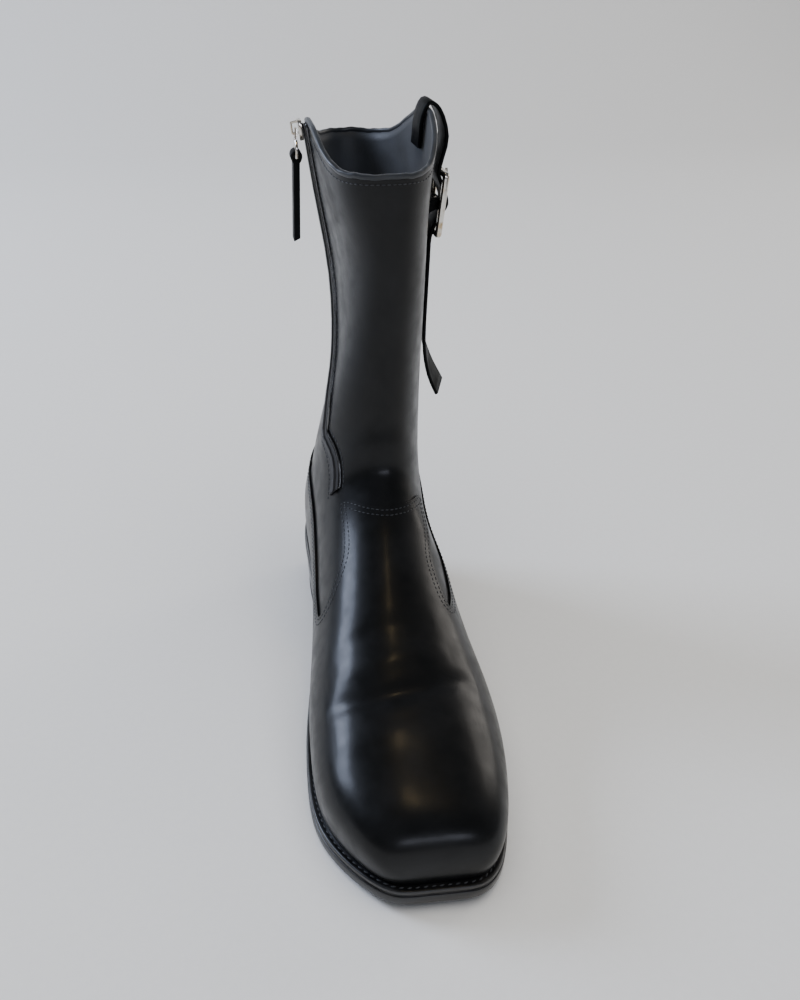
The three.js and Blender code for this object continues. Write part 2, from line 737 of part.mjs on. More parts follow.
// The puller hangs from its upper cross bar, at the local origin, down to the bar that holds the tab.
function zipPuller() {
  const top = PULLER_BAR / 2;
  const neck = BRIDGE_WIDTH / 2 + GAP + PULLER_BAR;
  const half = PULLER_WIDTH / 2;
  const low = top - PULLER_LENGTH;
  const shape = new THREE.Shape();
  shape.moveTo(-neck, top);
  shape.lineTo(-neck, -PULLER_LENGTH / 3);
  shape.quadraticCurveTo(-half, -PULLER_LENGTH * 0.45, -half, -PULLER_LENGTH * 0.65);
  shape.lineTo(-half, low);
  shape.lineTo(half, low);
  shape.lineTo(half, -PULLER_LENGTH * 0.65);
  shape.quadraticCurveTo(half, -PULLER_LENGTH * 0.45, neck, -PULLER_LENGTH / 3);
  shape.lineTo(neck, top);
  const eye = BRIDGE_WIDTH / 2 + GAP + 0.1;
  shape.holes.push(rounded(THREE.Path, -eye, -PULLER_LENGTH / 3, eye, -top, 0.3));
  const slot = TAB_WIDTH / 2 + GAP;
  const slotLow = low + PULLER_BAR;
  shape.holes.push(rounded(THREE.Path, -slot, slotLow, slot, slotLow + TAB_LEATHER + 3 * GAP, 0.3));
  return plate(shape, PULLER_THICKNESS);
}

// The tab is one strip of leather that is folded over the puller's lower bar and sewn to itself.
function pullTab() {
  const barMiddle = PULLER_BAR / 2 - PULLER_LENGTH + PULLER_BAR / 2;
  const inner = PIVOT_RADIUS + GAP;
  const outer = inner + TAB_LEATHER;
  const end = barMiddle - TAB_LENGTH;
  const shape = new THREE.Shape();
  shape.moveTo(TAB_LEATHER, end);
  shape.lineTo(TAB_LEATHER, barMiddle - 2.6 * inner);
  shape.quadraticCurveTo(outer, barMiddle - 1.4 * inner, outer, barMiddle);
  shape.absarc(0, barMiddle, outer, 0, Math.PI);
  shape.quadraticCurveTo(-outer, barMiddle - 1.4 * inner, -TAB_LEATHER, barMiddle - 2.6 * inner);
  shape.lineTo(-TAB_LEATHER, end + TAB_LEATHER);
  const hole = new THREE.Path();
  hole.absarc(0, barMiddle, inner, 0, 2 * Math.PI);
  shape.holes.push(hole);
  const turned = new THREE.Matrix4().makeBasis(Z_AXIS, Y_AXIS, X_AXIS.clone().negate());
  return plate(shape, TAB_WIDTH, 0.3).applyMatrix4(turned);
}

// The strap and the buckle lie in one upright plane at the collar's outer peak. Places in it are given
// as out from the peak's outer face and down from the peak.
const PEAK = face(TOP, 0.5);
const SIDE = face(TOP - 1.6, 0.5).x - PEAK.x; // the shaft's outer face beside the buckle
const MIDDLE_OUT = SIDE + BUCKLE_OUT;
const BAR_REACH = (BUCKLE_HEIGHT - BUCKLE_BAR) / 2; // from the middle of the frame to its end bars
const frameOut = (down) => MIDDLE_OUT - (BUCKLE_LEAN * (down - BUCKLE_DROP)) / BUCKLE_HEIGHT;
const CENTRE_OUT = MIDDLE_OUT - BUCKLE_BAR / 2 + CENTRE_BAR / 2;
const inPlane = (out, down, y = 0) => new THREE.Vector3(PEAK.x + out, PEAK.y + y, PEAK.z - down);

// The strap's middle behind a bar of the frame, and over the centre bar.
const BEHIND_BAR = BUCKLE_BAR / 2 + 2 * GAP + STRAP_THICKNESS / 2;
const OVER_CENTRE = CENTRE_BAR / 2 + CHAPE_THICKNESS + 2 * GAP + STRAP_THICKNESS / 2;

// The strap's middle on the lining, beside section s.
function onLining(s) {
  const point = shell(s, 0.5, -(WALL + 3 * GAP + STRAP_THICKNESS / 2));
  return new THREE.Vector3(point.x, PEAK.y, point.z);
}

// The strap's way: up inside the collar, over its peak, behind the frame's top bar, over the centre
// bar, behind the lower bar and down as the hanging tail.
function strapWay() {
  const topBar = BUCKLE_DROP - BAR_REACH;
  const lowBar = BUCKLE_DROP + BAR_REACH;
  const behindTop = frameOut(topBar) - BEHIND_BAR;
  const behindLow = frameOut(lowBar) - BEHIND_BAR;
  const over = CENTRE_OUT + OVER_CENTRE;
  const onTail = (share) => lowBar + TAIL_LENGTH * share;
  return new THREE.CatmullRomCurve3([
    onLining(TOP - 0.55),
    onLining(TOP - 0.08),
    inPlane(-WALL / 2, -STRAP_RISE),
    inPlane(STRAP_THICKNESS + STRAP_BULGE / 2, -STRAP_RISE * 0.3),
    inPlane(behindTop + STRAP_BULGE, topBar * 0.4),
    inPlane(behindTop + 0.4, topBar - 4),
    inPlane(behindTop, topBar),
    inPlane(mix(behindTop, over, 0.66), topBar + BAR_REACH * 0.55),
    inPlane(over, BUCKLE_DROP),
    inPlane(mix(behindLow, over, 0.55), lowBar - BAR_REACH * 0.6),
    inPlane(behindLow, lowBar),
    inPlane(behindLow - 0.6, onTail(0.12)),
    inPlane(behindLow - 0.6, onTail(0.35)),
    inPlane(behindLow, onTail(0.55)),
    inPlane(behindLow + TAIL_SWING * 0.15, onTail(0.7)),
    inPlane(behindLow + TAIL_SWING * 0.5, onTail(0.86)),
    inPlane(behindLow + TAIL_SWING, onTail(1)),
  ]);
}

// A flat band along a curve in the strap's plane. turn(u) rolls it about its own length, in degrees.
function band(curve, count, width, thickness, turn = () => 0) {
  const corner = thickness * 0.3;
  const [w, h] = [width / 2, thickness / 2];
  const section = [
    [-w, h - corner],
    [-w, corner - h],
    [corner - w, -h],
    [w - corner, -h],
    [w, corner - h],
    [w, h - corner],
    [w - corner, h],
    [corner - w, h],
  ];
  const rings = steps(0, 1, count).map((u) => {
    const point = curve.getPoint(u);
    const travel = curve.getTangent(u);
    const side = Y_AXIS.clone().applyAxisAngle(travel, THREE.MathUtils.degToRad(turn(u)));
    const out = travel.clone().cross(side);
    return section.map(([x, z]) => point.clone().addScaledVector(side, x).addScaledVector(out, z));
  });
  return stack(rings);
}

const TWIST_START = 0.78; // share of the strap's way
const tailTurn = (u) => TAIL_TWIST * ease(clamp((u - TWIST_START) / (1 - TWIST_START), 0, 1));

function prongWay() {
  const topBar = BUCKLE_DROP - BAR_REACH;
  const rest = frameOut(topBar) + BUCKLE_BAR / 2 + GAP + PRONG / 2;
  const start = CENTRE_OUT + CENTRE_BAR / 2 + GAP + PRONG / 2;
  return new THREE.CatmullRomCurve3([
    inPlane(start, BUCKLE_DROP),
    inPlane(start + 1.6, BUCKLE_DROP - BAR_REACH * 0.2),
    inPlane(rest + 0.9, BUCKLE_DROP - BAR_REACH * 0.5),
    inPlane(rest + 0.4, BUCKLE_DROP - BAR_REACH * 0.8),
    inPlane(rest, topBar - BUCKLE_BAR / 2),
  ]);
}

function rod(curve, count, radius) {
  const rings = steps(0, 1, count).map((u) => {
    const point = curve.getPoint(u);
    const travel = curve.getTangent(u);
    const out = travel.clone().cross(Y_AXIS).negate();
    return steps(0, 2 * Math.PI, 6).slice(1).map((angle) => {
      const sideways = point.clone().addScaledVector(Y_AXIS, -Math.cos(angle) * radius);
      return sideways.addScaledVector(out, Math.sin(angle) * radius);
    });
  });
  return stack(rings);
}

function strap() {
  const whole = band(strapWay(), 52, STRAP_WIDTH, STRAP_THICKNESS, tailTurn);
  const hole = rod(prongWay(), 10, PRONG / 2 + GAP);
  return geometryOf(solid(whole).subtract(solid(hole)));
}

// The frame lies in its own plane, x across and y up, with blocks at the corners of its end bars.
function buckleFrame() {
  const width = STRAP_WIDTH / 2 + 1 + BUCKLE_BAR;
  const height = BUCKLE_HEIGHT / 2;
  const shape = rounded(THREE.Shape, -width, -height, width, height, 3);
  const inside = width - BUCKLE_BAR;
  shape.holes.push(rounded(THREE.Path, -inside, BUCKLE_BAR - height, inside, height - BUCKLE_BAR, 0.8));
  let frame = solid(plate(shape, BUCKLE_BAR, 0.7));
  const bar = new THREE.CylinderGeometry(CENTRE_BAR / 2, CENTRE_BAR / 2, 2 * inside + BUCKLE_BAR, 10);
  bar.rotateZ(Math.PI / 2).translate(0, 0, CENTRE_BAR / 2 - BUCKLE_BAR / 2);
  frame = frame.add(solid(closed(bar)));
  return geometryOf(frame);
}

// The prong's eye goes round the centre bar, and the prong passes through the strap to the top bar.
function buckleProng() {
  const inner = CENTRE_BAR / 2 + GAP;
  const ring = new THREE.Shape();
  ring.absarc(0, 0, inner + PRONG * 0.7, 0, 2 * Math.PI);
  const hole = new THREE.Path();
  hole.absarc(0, 0, inner, 0, 2 * Math.PI);
  ring.holes.push(hole);
  const axes = new THREE.Matrix4().makeBasis(X_AXIS, Z_AXIS, Y_AXIS.clone().negate());
  const eye = plate(ring, PRONG * 1.5, 0.15).applyMatrix4(axes);
  const middle = inPlane(CENTRE_OUT, BUCKLE_DROP);
  eye.translate(middle.x, middle.y, middle.z);
  return geometryOf(solid(eye).add(solid(rod(prongWay(), 10, PRONG / 2))));
}

// The chape is sewn on the shaft under the tail and folded round the centre bar.
function buckleChape() {
  const inner = CENTRE_BAR / 2 + GAP;
  const outer = inner + CHAPE_THICKNESS;
  const back = SIDE + GAP + 0.4;
  const low = BUCKLE_DROP + BAR_REACH + 8;
  const shape = new THREE.Shape();
  const x = (out) => out - CENTRE_OUT;
  shape.moveTo(x(back), BUCKLE_DROP - low);
  shape.lineTo(x(back + CHAPE_THICKNESS), BUCKLE_DROP - low);
  shape.lineTo(x(back + CHAPE_THICKNESS), -BAR_REACH * 0.75);
  shape.quadraticCurveTo(x(back + CHAPE_THICKNESS), -outer * 1.5, -inner * 0.4, -outer);
  shape.absarc(0, 0, outer, -Math.PI / 2, Math.PI / 2);
  shape.quadraticCurveTo(x(back), outer, x(back), -outer * 1.2);
  const hole = new THREE.Path();
  hole.absarc(0, 0, inner, 0, 2 * Math.PI);
  shape.holes.push(hole);
  const axes = new THREE.Matrix4().makeBasis(X_AXIS, Z_AXIS, Y_AXIS.clone().negate());
  const chape = solid(plate(shape, STRAP_WIDTH - 2, 0.2).applyMatrix4(axes));
  const notch = new THREE.BoxGeometry(2 * (outer + 1), PRONG * 1.5 + 2 * GAP, 2 * (outer + 1));
  notch.translate(outer * 0.4, 0, outer * 0.2);
  const middle = inPlane(CENTRE_OUT, BUCKLE_DROP);
  return geometryOf(chape.subtract(solid(closed(notch)))).translate(middle.x, middle.y, middle.z);
}

const LEATHER = new THREE.MeshStandardMaterial({ color: 0x111214, roughness: 0.18, metalness: 0 });
const SOLE_EDGE = new THREE.MeshStandardMaterial({ color: 0x0d0d0e, roughness: 0.4, metalness: 0 });
const RUBBER = new THREE.MeshStandardMaterial({ color: 0x1a1a1b, roughness: 0.7, metalness: 0 });
const LINING = new THREE.MeshStandardMaterial({ color: 0x33373d, roughness: 0.8, metalness: 0 });
const CHROME = new THREE.MeshStandardMaterial({ color: 0xc9c9c6, roughness: 0.12, metalness: 1 });
const TAPE = new THREE.MeshStandardMaterial({ color: 0x0a0a0b, roughness: 0.85, metalness: 0 });

function named(name, geometry, material) {
  const mesh = new THREE.Mesh(geometry, material);
  mesh.name = name;
  return mesh;
}

// The zip's hardware sits on the teeth near the collar. Its bridge points straight out of the shaft,
// the slider leans with the shaft, and the puller and its tab hang straight down.
function zipHardware() {
  const [s, a] = zipAt(SLIDER_PLACE);
  const seat = shell(s, a, ZIP_LIFT + 2 * GAP + 2 * ZIP_STEP);
  const normal = outward(s, a);
  const level = new THREE.Vector3(normal.x, normal.y, 0).normalize();
  const across = Z_AXIS.clone().cross(level);
  const slider = new THREE.Group();
  slider.position.copy(seat);
  const along = normal.clone().cross(across);
  slider.quaternion.setFromRotationMatrix(new THREE.Matrix4().makeBasis(across, along, normal));
  slider.add(named("zip_slider", zipSlider(), CHROME));
  slider.updateMatrixWorld(true);
  const hanging = new THREE.Group();
  hanging.position.copy(PIVOT.clone().applyMatrix4(slider.matrixWorld));
  hanging.quaternion.setFromRotationMatrix(new THREE.Matrix4().makeBasis(across, Z_AXIS, level));
  hanging.add(named("zip_puller", zipPuller(), CHROME));
  hanging.add(named("pull_tab", pullTab(), LEATHER));
  return [slider, hanging];
}

const boot = new THREE.Group();
boot.add(named("outsole", outsole(), SOLE_EDGE));
boot.add(named("welt", welt(), SOLE_EDGE));
boot.add(named("heel_block", heelBlock(), SOLE_EDGE));
boot.add(named("heel_top_piece", heelTopPiece(), RUBBER));
boot.add(named("insole", insole(), LINING));
boot.add(named("upper", upper(), LEATHER));
boot.add(named("zip_tape", zipTape(), TAPE));
boot.add(named("zip_teeth", zipTeeth(), TAPE));
boot.add(...zipHardware());
boot.add(named("strap", strap(), LEATHER));
boot.add(named("buckle_prong", buckleProng(), CHROME));
boot.add(named("buckle_chape", buckleChape(), LEATHER));

const frame = named("buckle_frame", buckleFrame(), CHROME);
frame.position.copy(inPlane(MIDDLE_OUT, BUCKLE_DROP));
const upright = new THREE.Vector3(BUCKLE_LEAN, 0, BUCKLE_HEIGHT).normalize();
const facing = Y_AXIS.clone().cross(upright);
frame.quaternion.setFromRotationMatrix(new THREE.Matrix4().makeBasis(Y_AXIS, upright, facing));
boot.add(frame);

export default boot;
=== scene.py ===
"""The looks of a left buckle boot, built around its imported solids.

The boot is black box calf with a square toe, a stitched welt, a block heel, a zip on the inner
side and a buckled strap over the collar's outer peak. Sizes are in millimetres and become metres
where a mesh is made. +Z is up, the toe points along -Y, and the outer side is +X.
"""

import logging
import math
from dataclasses import dataclass, field
from enum import Enum
from typing import Callable, ClassVar, Optional, Sequence

import bmesh
import bpy
import numpy as np
from mathutils import Matrix, Vector
from mathutils.bvhtree import BVHTree


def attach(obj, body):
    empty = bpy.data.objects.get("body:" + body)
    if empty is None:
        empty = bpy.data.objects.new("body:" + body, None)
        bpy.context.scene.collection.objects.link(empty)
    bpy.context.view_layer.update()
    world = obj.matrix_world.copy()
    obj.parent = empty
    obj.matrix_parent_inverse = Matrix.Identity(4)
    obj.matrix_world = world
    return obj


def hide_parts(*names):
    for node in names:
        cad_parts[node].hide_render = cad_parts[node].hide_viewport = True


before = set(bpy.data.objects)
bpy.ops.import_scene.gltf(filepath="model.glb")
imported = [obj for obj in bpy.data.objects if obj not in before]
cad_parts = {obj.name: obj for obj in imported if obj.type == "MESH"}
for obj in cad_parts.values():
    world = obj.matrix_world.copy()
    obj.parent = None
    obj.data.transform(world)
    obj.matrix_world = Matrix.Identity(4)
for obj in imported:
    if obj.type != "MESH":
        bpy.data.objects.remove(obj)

LOG = logging.getLogger("buckle_boot")
# A millimetre in metres. Two numbers that count as nothing, and one beyond any size here.
MM = 0.001
TRACE = 1e-12
TINY = 1e-9
HUGE = 1e9
BOOT = "boot"
PULL = "zip_pull"
UP = np.array([0.0, 0.0, 1.0])
ACROSS = np.array([1.0, 0.0, 0.0])
BACKWARD = np.array([0.0, 1.0, 0.0])

Numbers = float | np.ndarray
Mesh = bmesh.types.BMesh
Material = bpy.types.Material


class Side(Enum):
    """The two sides of the boot, by the sign of x."""

    OUTER = 1.0
    INNER = -1.0


class Grain(Enum):
    """The kinds of pattern that the finishes are made of."""

    SOFT = "FBM"
    RIDGED = "RIDGED_MULTIFRACTAL"
    CELLS = "CELLS"


# Small helpers ------------------------------------------------------------


def mix(a: Numbers, b: Numbers, t: Numbers) -> Numbers:
    """Blends a into b by the share t."""
    return a + (b - a) * t


def ease(t: Numbers) -> Numbers:
    """Blends from 0 to 1 with level ends."""
    return t * t * (3 - 2 * t)


def ramp(value: Numbers, low: float, high: float) -> Numbers:
    """Rises smoothly from 0 at low to 1 at high."""
    return ease(np.clip((value - low) / (high - low), 0.0, 1.0))


def unit(vectors: np.ndarray) -> np.ndarray:
    """Gives each vector the length 1."""
    length = np.linalg.norm(vectors, axis=-1, keepdims=True)
    return vectors / np.maximum(length, TINY)


def spline(column: np.ndarray, s: np.ndarray) -> np.ndarray:
    """Reads a uniform cubic B-spline through a table's column.

    Args:
        column: the table's values, one for each whole section.
        s: the sections to read.

    Returns:
        The value at each section. The first and last values are met exactly.
    """
    ends = (2 * column[0] - column[1], 2 * column[-1] - column[-2])
    v = np.concatenate(([ends[0]], column, [ends[1]]))
    i = np.clip(np.floor(s).astype(int), 0, len(column) - 2)
    t = s - i
    u = 1 - t
    parts = (u**3, 3 * t**3 - 6 * t**2 + 4, 3 * u**3 - 6 * u**2 + 4, t**3)
    return sum(part * v[i + k] for k, part in enumerate(parts)) / 6


def resample(points: np.ndarray, pitch: float, closed: bool = False) -> np.ndarray:
    """Places points at an even pitch along a line.

    Args:
        points: the line's points.
        pitch: the wanted distance between neighbours.
        closed: whether the line returns to its start.

    Returns:
        The new points, whose spacing is rounded so that they fill the line.
    """
    line = np.vstack((points, points[:1])) if closed else points
    run = np.concatenate(([0.0], np.cumsum(np.linalg.norm(np.diff(line, axis=0), axis=1))))
    count = max(2, round(run[-1] / pitch))
    places = np.linspace(0.0, run[-1], count + 1)
    places = places[:-1] if closed else places
    return np.stack([np.interp(places, run, line[:, k]) for k in range(line.shape[1])], axis=1)


def to_track(points: np.ndarray, track: np.ndarray) -> tuple[np.ndarray, np.ndarray]:
    """Finds the nearest spots on a line.

    Args:
        points: the points that look for them.
        track: the line's points.

    Returns:
        Each point's distance from the line, and its nearest spot, counted in points of the line.
    """
    near = np.full(len(points), HUGE)
    spots = np.zeros(len(points))
    for k in range(len(track) - 1):
        run = track[k + 1] - track[k]
        t = np.clip((points - track[k]) @ run / max(run @ run, TINY), 0.0, 1.0)
        gap = np.linalg.norm(points - track[k] - t[:, None] * run, axis=1)
        spots = np.where(gap < near, k + t, spots)
        near = np.minimum(near, gap)
    return near, spots


def linear(hex_colour: str) -> tuple[float, float, float, float]:
    """Turns an sRGB hex colour into linear RGBA.

    Args:
        hex_colour: the colour, as #rrggbb.

    Returns:
        Its linear red, green and blue, and an alpha of 1.
    """
    values = [int(hex_colour[k : k + 2], 16) / 255 for k in (1, 3, 5)]
    out = [v / 12.92 if v <= 0.04045 else ((v + 0.055) / 1.055) ** 2.4 for v in values]
    return (*out, 1.0)


# The boot's own form ------------------------------------------------------


@dataclass
class Last:
    """The form that the upper is stretched over, and the sole under it, in the boot's own sizes.

    Attributes:
        upper_length: the upper's length, from its back to the toe.
        heel_back: how far the feather line reaches behind the heel's middle.
        ball_width: the upper's width at the ball of the foot.
        instep_height: the instep's height above the feather line.
        leg_height: the collar's height above the heel's feather line, without the peaks.
        collar_width: the collar's width, from the inner to the outer side.
        collar_depth: the collar's depth, front to back, as a scale for the shaft.
        outer_peak: how far the collar rises on the outer side.
        inner_peak: how far it rises on the inner side.
        wall: the leather's thickness with its lining.
        overlay: how far the vamp and the counter stand out from the shaft.
        heel_height: the height of the outsole's underside at the heel's middle.
        heel_cap: the thickness of the rubber top piece.
        seat_slope: how much the heel seat rises to the back.
        toe_spring: how high the sole's tip is off the floor.
        outsole: the outsole's thickness.
        welt: the welt's thickness.
        welt_reach: how far the welt stands out at the forefoot.
        heel_reach: the share of that by which it stands out at the heel.
        waist: where the welt starts to widen, as a share of the length from the back.
        forepart: where it has its full width, as such a share.
        outsole_step: how far the outsole stands out beyond the welt.
        heel_taper: how much narrower the heel gets towards the floor.
        edge_bevel: the bevel of the sole's edges.
        gap: the clearance between two pieces.
        breast: the heel's front face, as a share of the length.
        shank_end: where the shank meets the tread, as a share of the length.
        spring_start: where the toe spring starts, as a share of the length.
        level_height: how far above the feather line the outward directions are tilted level.
        step: the small step that measures the face's directions.
        edge_gap: how near an edge counts as on it.
        tuck_limit: how nearly upright the sides may stand on the feather line.
        peak_narrow: how narrow the collar's peaks are.
        leg_start: how many sections above the closed heel the leg's own form starts.
        fine: sections that the search for the heel's front face looks at.
    """

    upper_length: float = 271.0
    heel_back: float = 29.5
    ball_width: float = 92.0
    instep_height: float = 84.0
    leg_height: float = 234.0
    collar_width: float = 64.0
    collar_depth: float = 126.0
    outer_peak: float = 20.0
    inner_peak: float = 15.0
    wall: float = 2.2
    overlay: float = 1.2
    heel_height: float = 33.0
    heel_cap: float = 6.0
    seat_slope: float = 0.06
    toe_spring: float = 5.0
    outsole: float = 5.5
    welt: float = 3.0
    welt_reach: float = 5.0
    heel_reach: float = 0.5
    waist: float = 0.25
    forepart: float = 0.65
    outsole_step: float = 0.4
    heel_taper: float = 3.0
    edge_bevel: float = 1.2
    gap: float = 0.3
    breast: float = 0.215
    shank_end: float = 0.635
    spring_start: float = 0.8
    level_height: float = 8.0
    step: float = 0.02
    edge_gap: float = 1e-6
    tuck_limit: float = 0.99
    peak_narrow: int = 6
    leg_start: int = 2
    fine: int = 4000

    # Sections of the foot. Shares of the upper's length for the base and the ridge, of the ball's
    # width for the outer and inner side, and of the instep's height for the rise.
    FOOT: ClassVar = (
        (1.0, 0.109, -0.054, 1.0, 0.0),
        (1.0, 0.205, -0.165, 1.004, 0.079),
        (0.985, 0.268, -0.232, 1.0, 0.212),
        (0.958, 0.328, -0.305, 0.979, 0.329),
        (0.915, 0.382, -0.39, 0.938, 0.4),
        (0.865, 0.432, -0.455, 0.879, 0.461),
        (0.808, 0.484, -0.478, 0.804, 0.532),
        (0.745, 0.52, -0.472, 0.718, 0.627),
        (0.67, 0.522, -0.455, 0.632, 0.746),
        (0.59, 0.49, -0.424, 0.55, 0.842),
        (0.498, 0.455, -0.375, 0.479, 0.893),
        (0.394, 0.418, -0.332, 0.427, 0.933),
        (0.282, 0.353, -0.31, 0.392, 0.994),
    )
    # Sections of the heel: base, outer and inner side, as on the foot.
    HEEL: ClassVar = (
        (0.195, 0.335, -0.315),
        (0.11, 0.328, -0.315),
        (0.03, 0.285, -0.28),
        (0.0, 0.16, -0.16),
        (0.0, 0.0, 0.0),
    )
    # The shaft's front line. Shares of the collar's depth forward and of the leg's height up.
    SHIN: ClassVar = (
        (0.548, 0.334),
        (0.52, 0.381),
        (0.508, 0.428),
        (0.5, 0.475),
        (0.496, 0.526),
        (0.492, 0.585),
        (0.488, 0.654),
        (0.488, 0.726),
        (0.49, 0.798),
        (0.494, 0.871),
        (0.498, 0.938),
        (0.502, 1.0),
    )
    # The back line. Shares of the collar's depth backward and of the leg's height up.
    BACK: ClassVar = (
        (0.234, 0.0),
        (0.264, 0.04),
        (0.289, 0.12),
        (0.29, 0.235),
        (0.276, 0.385),
        (0.317, 0.575),
        (0.405, 0.785),
        (0.498, 1.0),
    )
    # Fullness of the foot's and the leg's sections: the widest places on the outer and inner side
    # and the ridge's offset, as shares of the ball's or the collar's width, the height of the widest
    # places as a share of the section's, and how square the section is above and below them.
    FOOT_FULLNESS: ClassVar = (
        (0.109, -0.054, 0.03, 0.36, 3.2, 2.6),
        (0.225, -0.185, 0.03, 0.36, 3.2, 2.6),
        (0.295, -0.26, 0.03, 0.36, 3.1, 2.6),
        (0.355, -0.335, 0.02, 0.36, 2.9, 2.6),
        (0.405, -0.415, 0.0, 0.36, 2.7, 2.6),
        (0.452, -0.48, -0.02, 0.35, 2.5, 2.6),
        (0.496, -0.503, -0.03, 0.32, 2.25, 2.6),
        (0.526, -0.497, -0.03, 0.28, 2.05, 2.6),
        (0.53, -0.482, -0.02, 0.26, 1.95, 2.5),
        (0.5, -0.446, 0.0, 0.26, 1.9, 2.5),
        (0.467, -0.402, 0.02, 0.27, 1.9, 2.4),
        (0.446, -0.37, 0.04, 0.28, 1.9, 2.4),
        (0.391, -0.348, 0.065, 0.28, 1.9, 2.3),
    )
    LEG_FULLNESS: ClassVar = (
        (0.55, -0.49, 0.093, 0.29, 1.95, 2.3),
        (0.555, -0.485, 0.093, 0.3, 2.0, 2.3),
        (0.552, -0.475, 0.093, 0.32, 2.05, 2.3),
        (0.542, -0.46, 0.093, 0.34, 2.1, 2.3),
        (0.53, -0.44, 0.093, 0.37, 2.1, 2.3),
        (0.52, -0.41, 0.093, 0.41, 2.1, 2.25),
        (0.507, -0.35, 0.093, 0.44, 2.1, 2.2),
        (0.495, -0.27, 0.086, 0.47, 2.15, 2.15),
        (0.487, -0.235, 0.072, 0.49, 2.2, 2.1),
        (0.477, -0.24, 0.05, 0.5, 2.3, 2.1),
        (0.482, -0.37, 0.022, 0.5, 2.45, 2.1),
        (0.518, -0.46, 0.0, 0.5, 2.6, 2.1),
    )

    def __post_init__(self) -> None:
        """Turns the tables' shares into millimetres."""
        foot, heel, shin, back = (np.array(t) for t in (self.FOOT, self.HEEL, self.SHIN, self.BACK))
        foot_full, leg_full = np.array(self.FOOT_FULLNESS), np.array(self.LEG_FULLNESS)
        self.closed = len(foot) + len(heel) - 1
        self.top = len(foot) + len(shin) - 1
        self.lift_start = self.closed + self.leg_start
        self.base_y = self.along(np.concatenate((foot[:, 0], heel[:, 0])))
        self.base_outer = np.concatenate((foot[:, 1], heel[:, 1])) * self.ball_width
        self.base_inner = np.concatenate((foot[:, 2], heel[:, 2])) * self.ball_width
        ridge = self.along(foot[:, 3])
        self.seat = float(self.feather(np.array(0.0)))
        self.ridge_y = np.concatenate((ridge, -shin[:, 0] * self.collar_depth))
        rise = self.feather(ridge) + foot[:, 4] * self.instep_height
        self.ridge_z = np.concatenate((rise, self.seat + shin[:, 1] * self.leg_height))
        self.back_y = back[:, 0] * self.collar_depth
        self.back_y[0] = self.heel_back
        self.back_z = self.seat + back[:, 1] * self.leg_height
        self.back_z[0] = float(self.feather(np.array(self.heel_back)))
        widths = [
            np.concatenate((foot_full[:, k] * self.ball_width, leg_full[:, k] * self.collar_width))
            for k in range(3)
        ]
        self.belly_outer, self.belly_inner, self.offset = widths
        plain = [np.concatenate((foot_full[:, k], leg_full[:, k])) for k in range(3, 6)]
        self.belly, self.square_top, self.square_base = plain

    def along(self, share: Numbers) -> Numbers:
        """Places a share of the upper's length, from the heel, on the y axis."""
        return self.heel_back - np.asarray(share) * self.upper_length

    def sole_bottom(self, y: Numbers) -> np.ndarray:
        """Gives the height of the outsole's underside: toe spring, tread, shank and heel seat.

        Args:
            y: places along the boot.

        Returns:
            The height at each of them.
        """
        breast, shank_end = self.along(self.breast), self.along(self.shank_end)
        spring, tip = self.along(self.spring_start), self.along(1.0) - self.welt_reach
        seat = self.heel_height + self.seat_slope * y
        span = breast - shank_end
        t = np.clip((y - shank_end) / span, 0.0, 1.0)
        at_breast = self.heel_height + self.seat_slope * breast
        shank = at_breast * ease(t) + self.seat_slope * span * (t**3 - t**2)
        toe = self.toe_spring * (np.clip(spring - y, 0.0, None) / (spring - tip)) ** 2
        return np.where(y >= breast, seat, np.where(y >= shank_end, shank, toe))

    def welt_top(self, y: Numbers) -> np.ndarray:
        """Gives the height of the welt's upper face."""
        return self.sole_bottom(y) + self.outsole + self.gap + self.welt

    def feather(self, y: Numbers) -> np.ndarray:
        """Gives the height where the upper meets the welt."""
        return self.welt_top(y) + self.gap

    def feather_point(self, s: np.ndarray, sign: np.ndarray) -> np.ndarray:
        """Places points of the feather line.

        Args:
            s: their sections.
            sign: 1 for the outer side and -1 for the inner side.

        Returns:
            The points.
        """
        x = np.where(sign > 0, spline(self.base_outer, s), spline(self.base_inner, s))
        y = spline(self.base_y, s)
        return np.stack((x, y, self.feather(y)), axis=-1)

    def feather_out(self, s: np.ndarray, sign: np.ndarray) -> np.ndarray:
        """Gives the level outward directions of the feather line.

        Args:
            s: the sections.
            sign: 1 for the outer side and -1 for the inner side.

        Returns:
            The direction at each of them.
        """
        ahead = self.feather_point(np.minimum(s + self.step, self.closed), sign)
        behind = self.feather_point(np.maximum(s - self.step, 0.0), sign)
        travel = (ahead - behind) * np.asarray(sign)[..., None]
        out = unit(np.stack((travel[..., 1], -travel[..., 0], np.zeros_like(travel[..., 0])), axis=-1))
        return np.where((s >= self.closed - self.edge_gap)[..., None], BACKWARD, out)

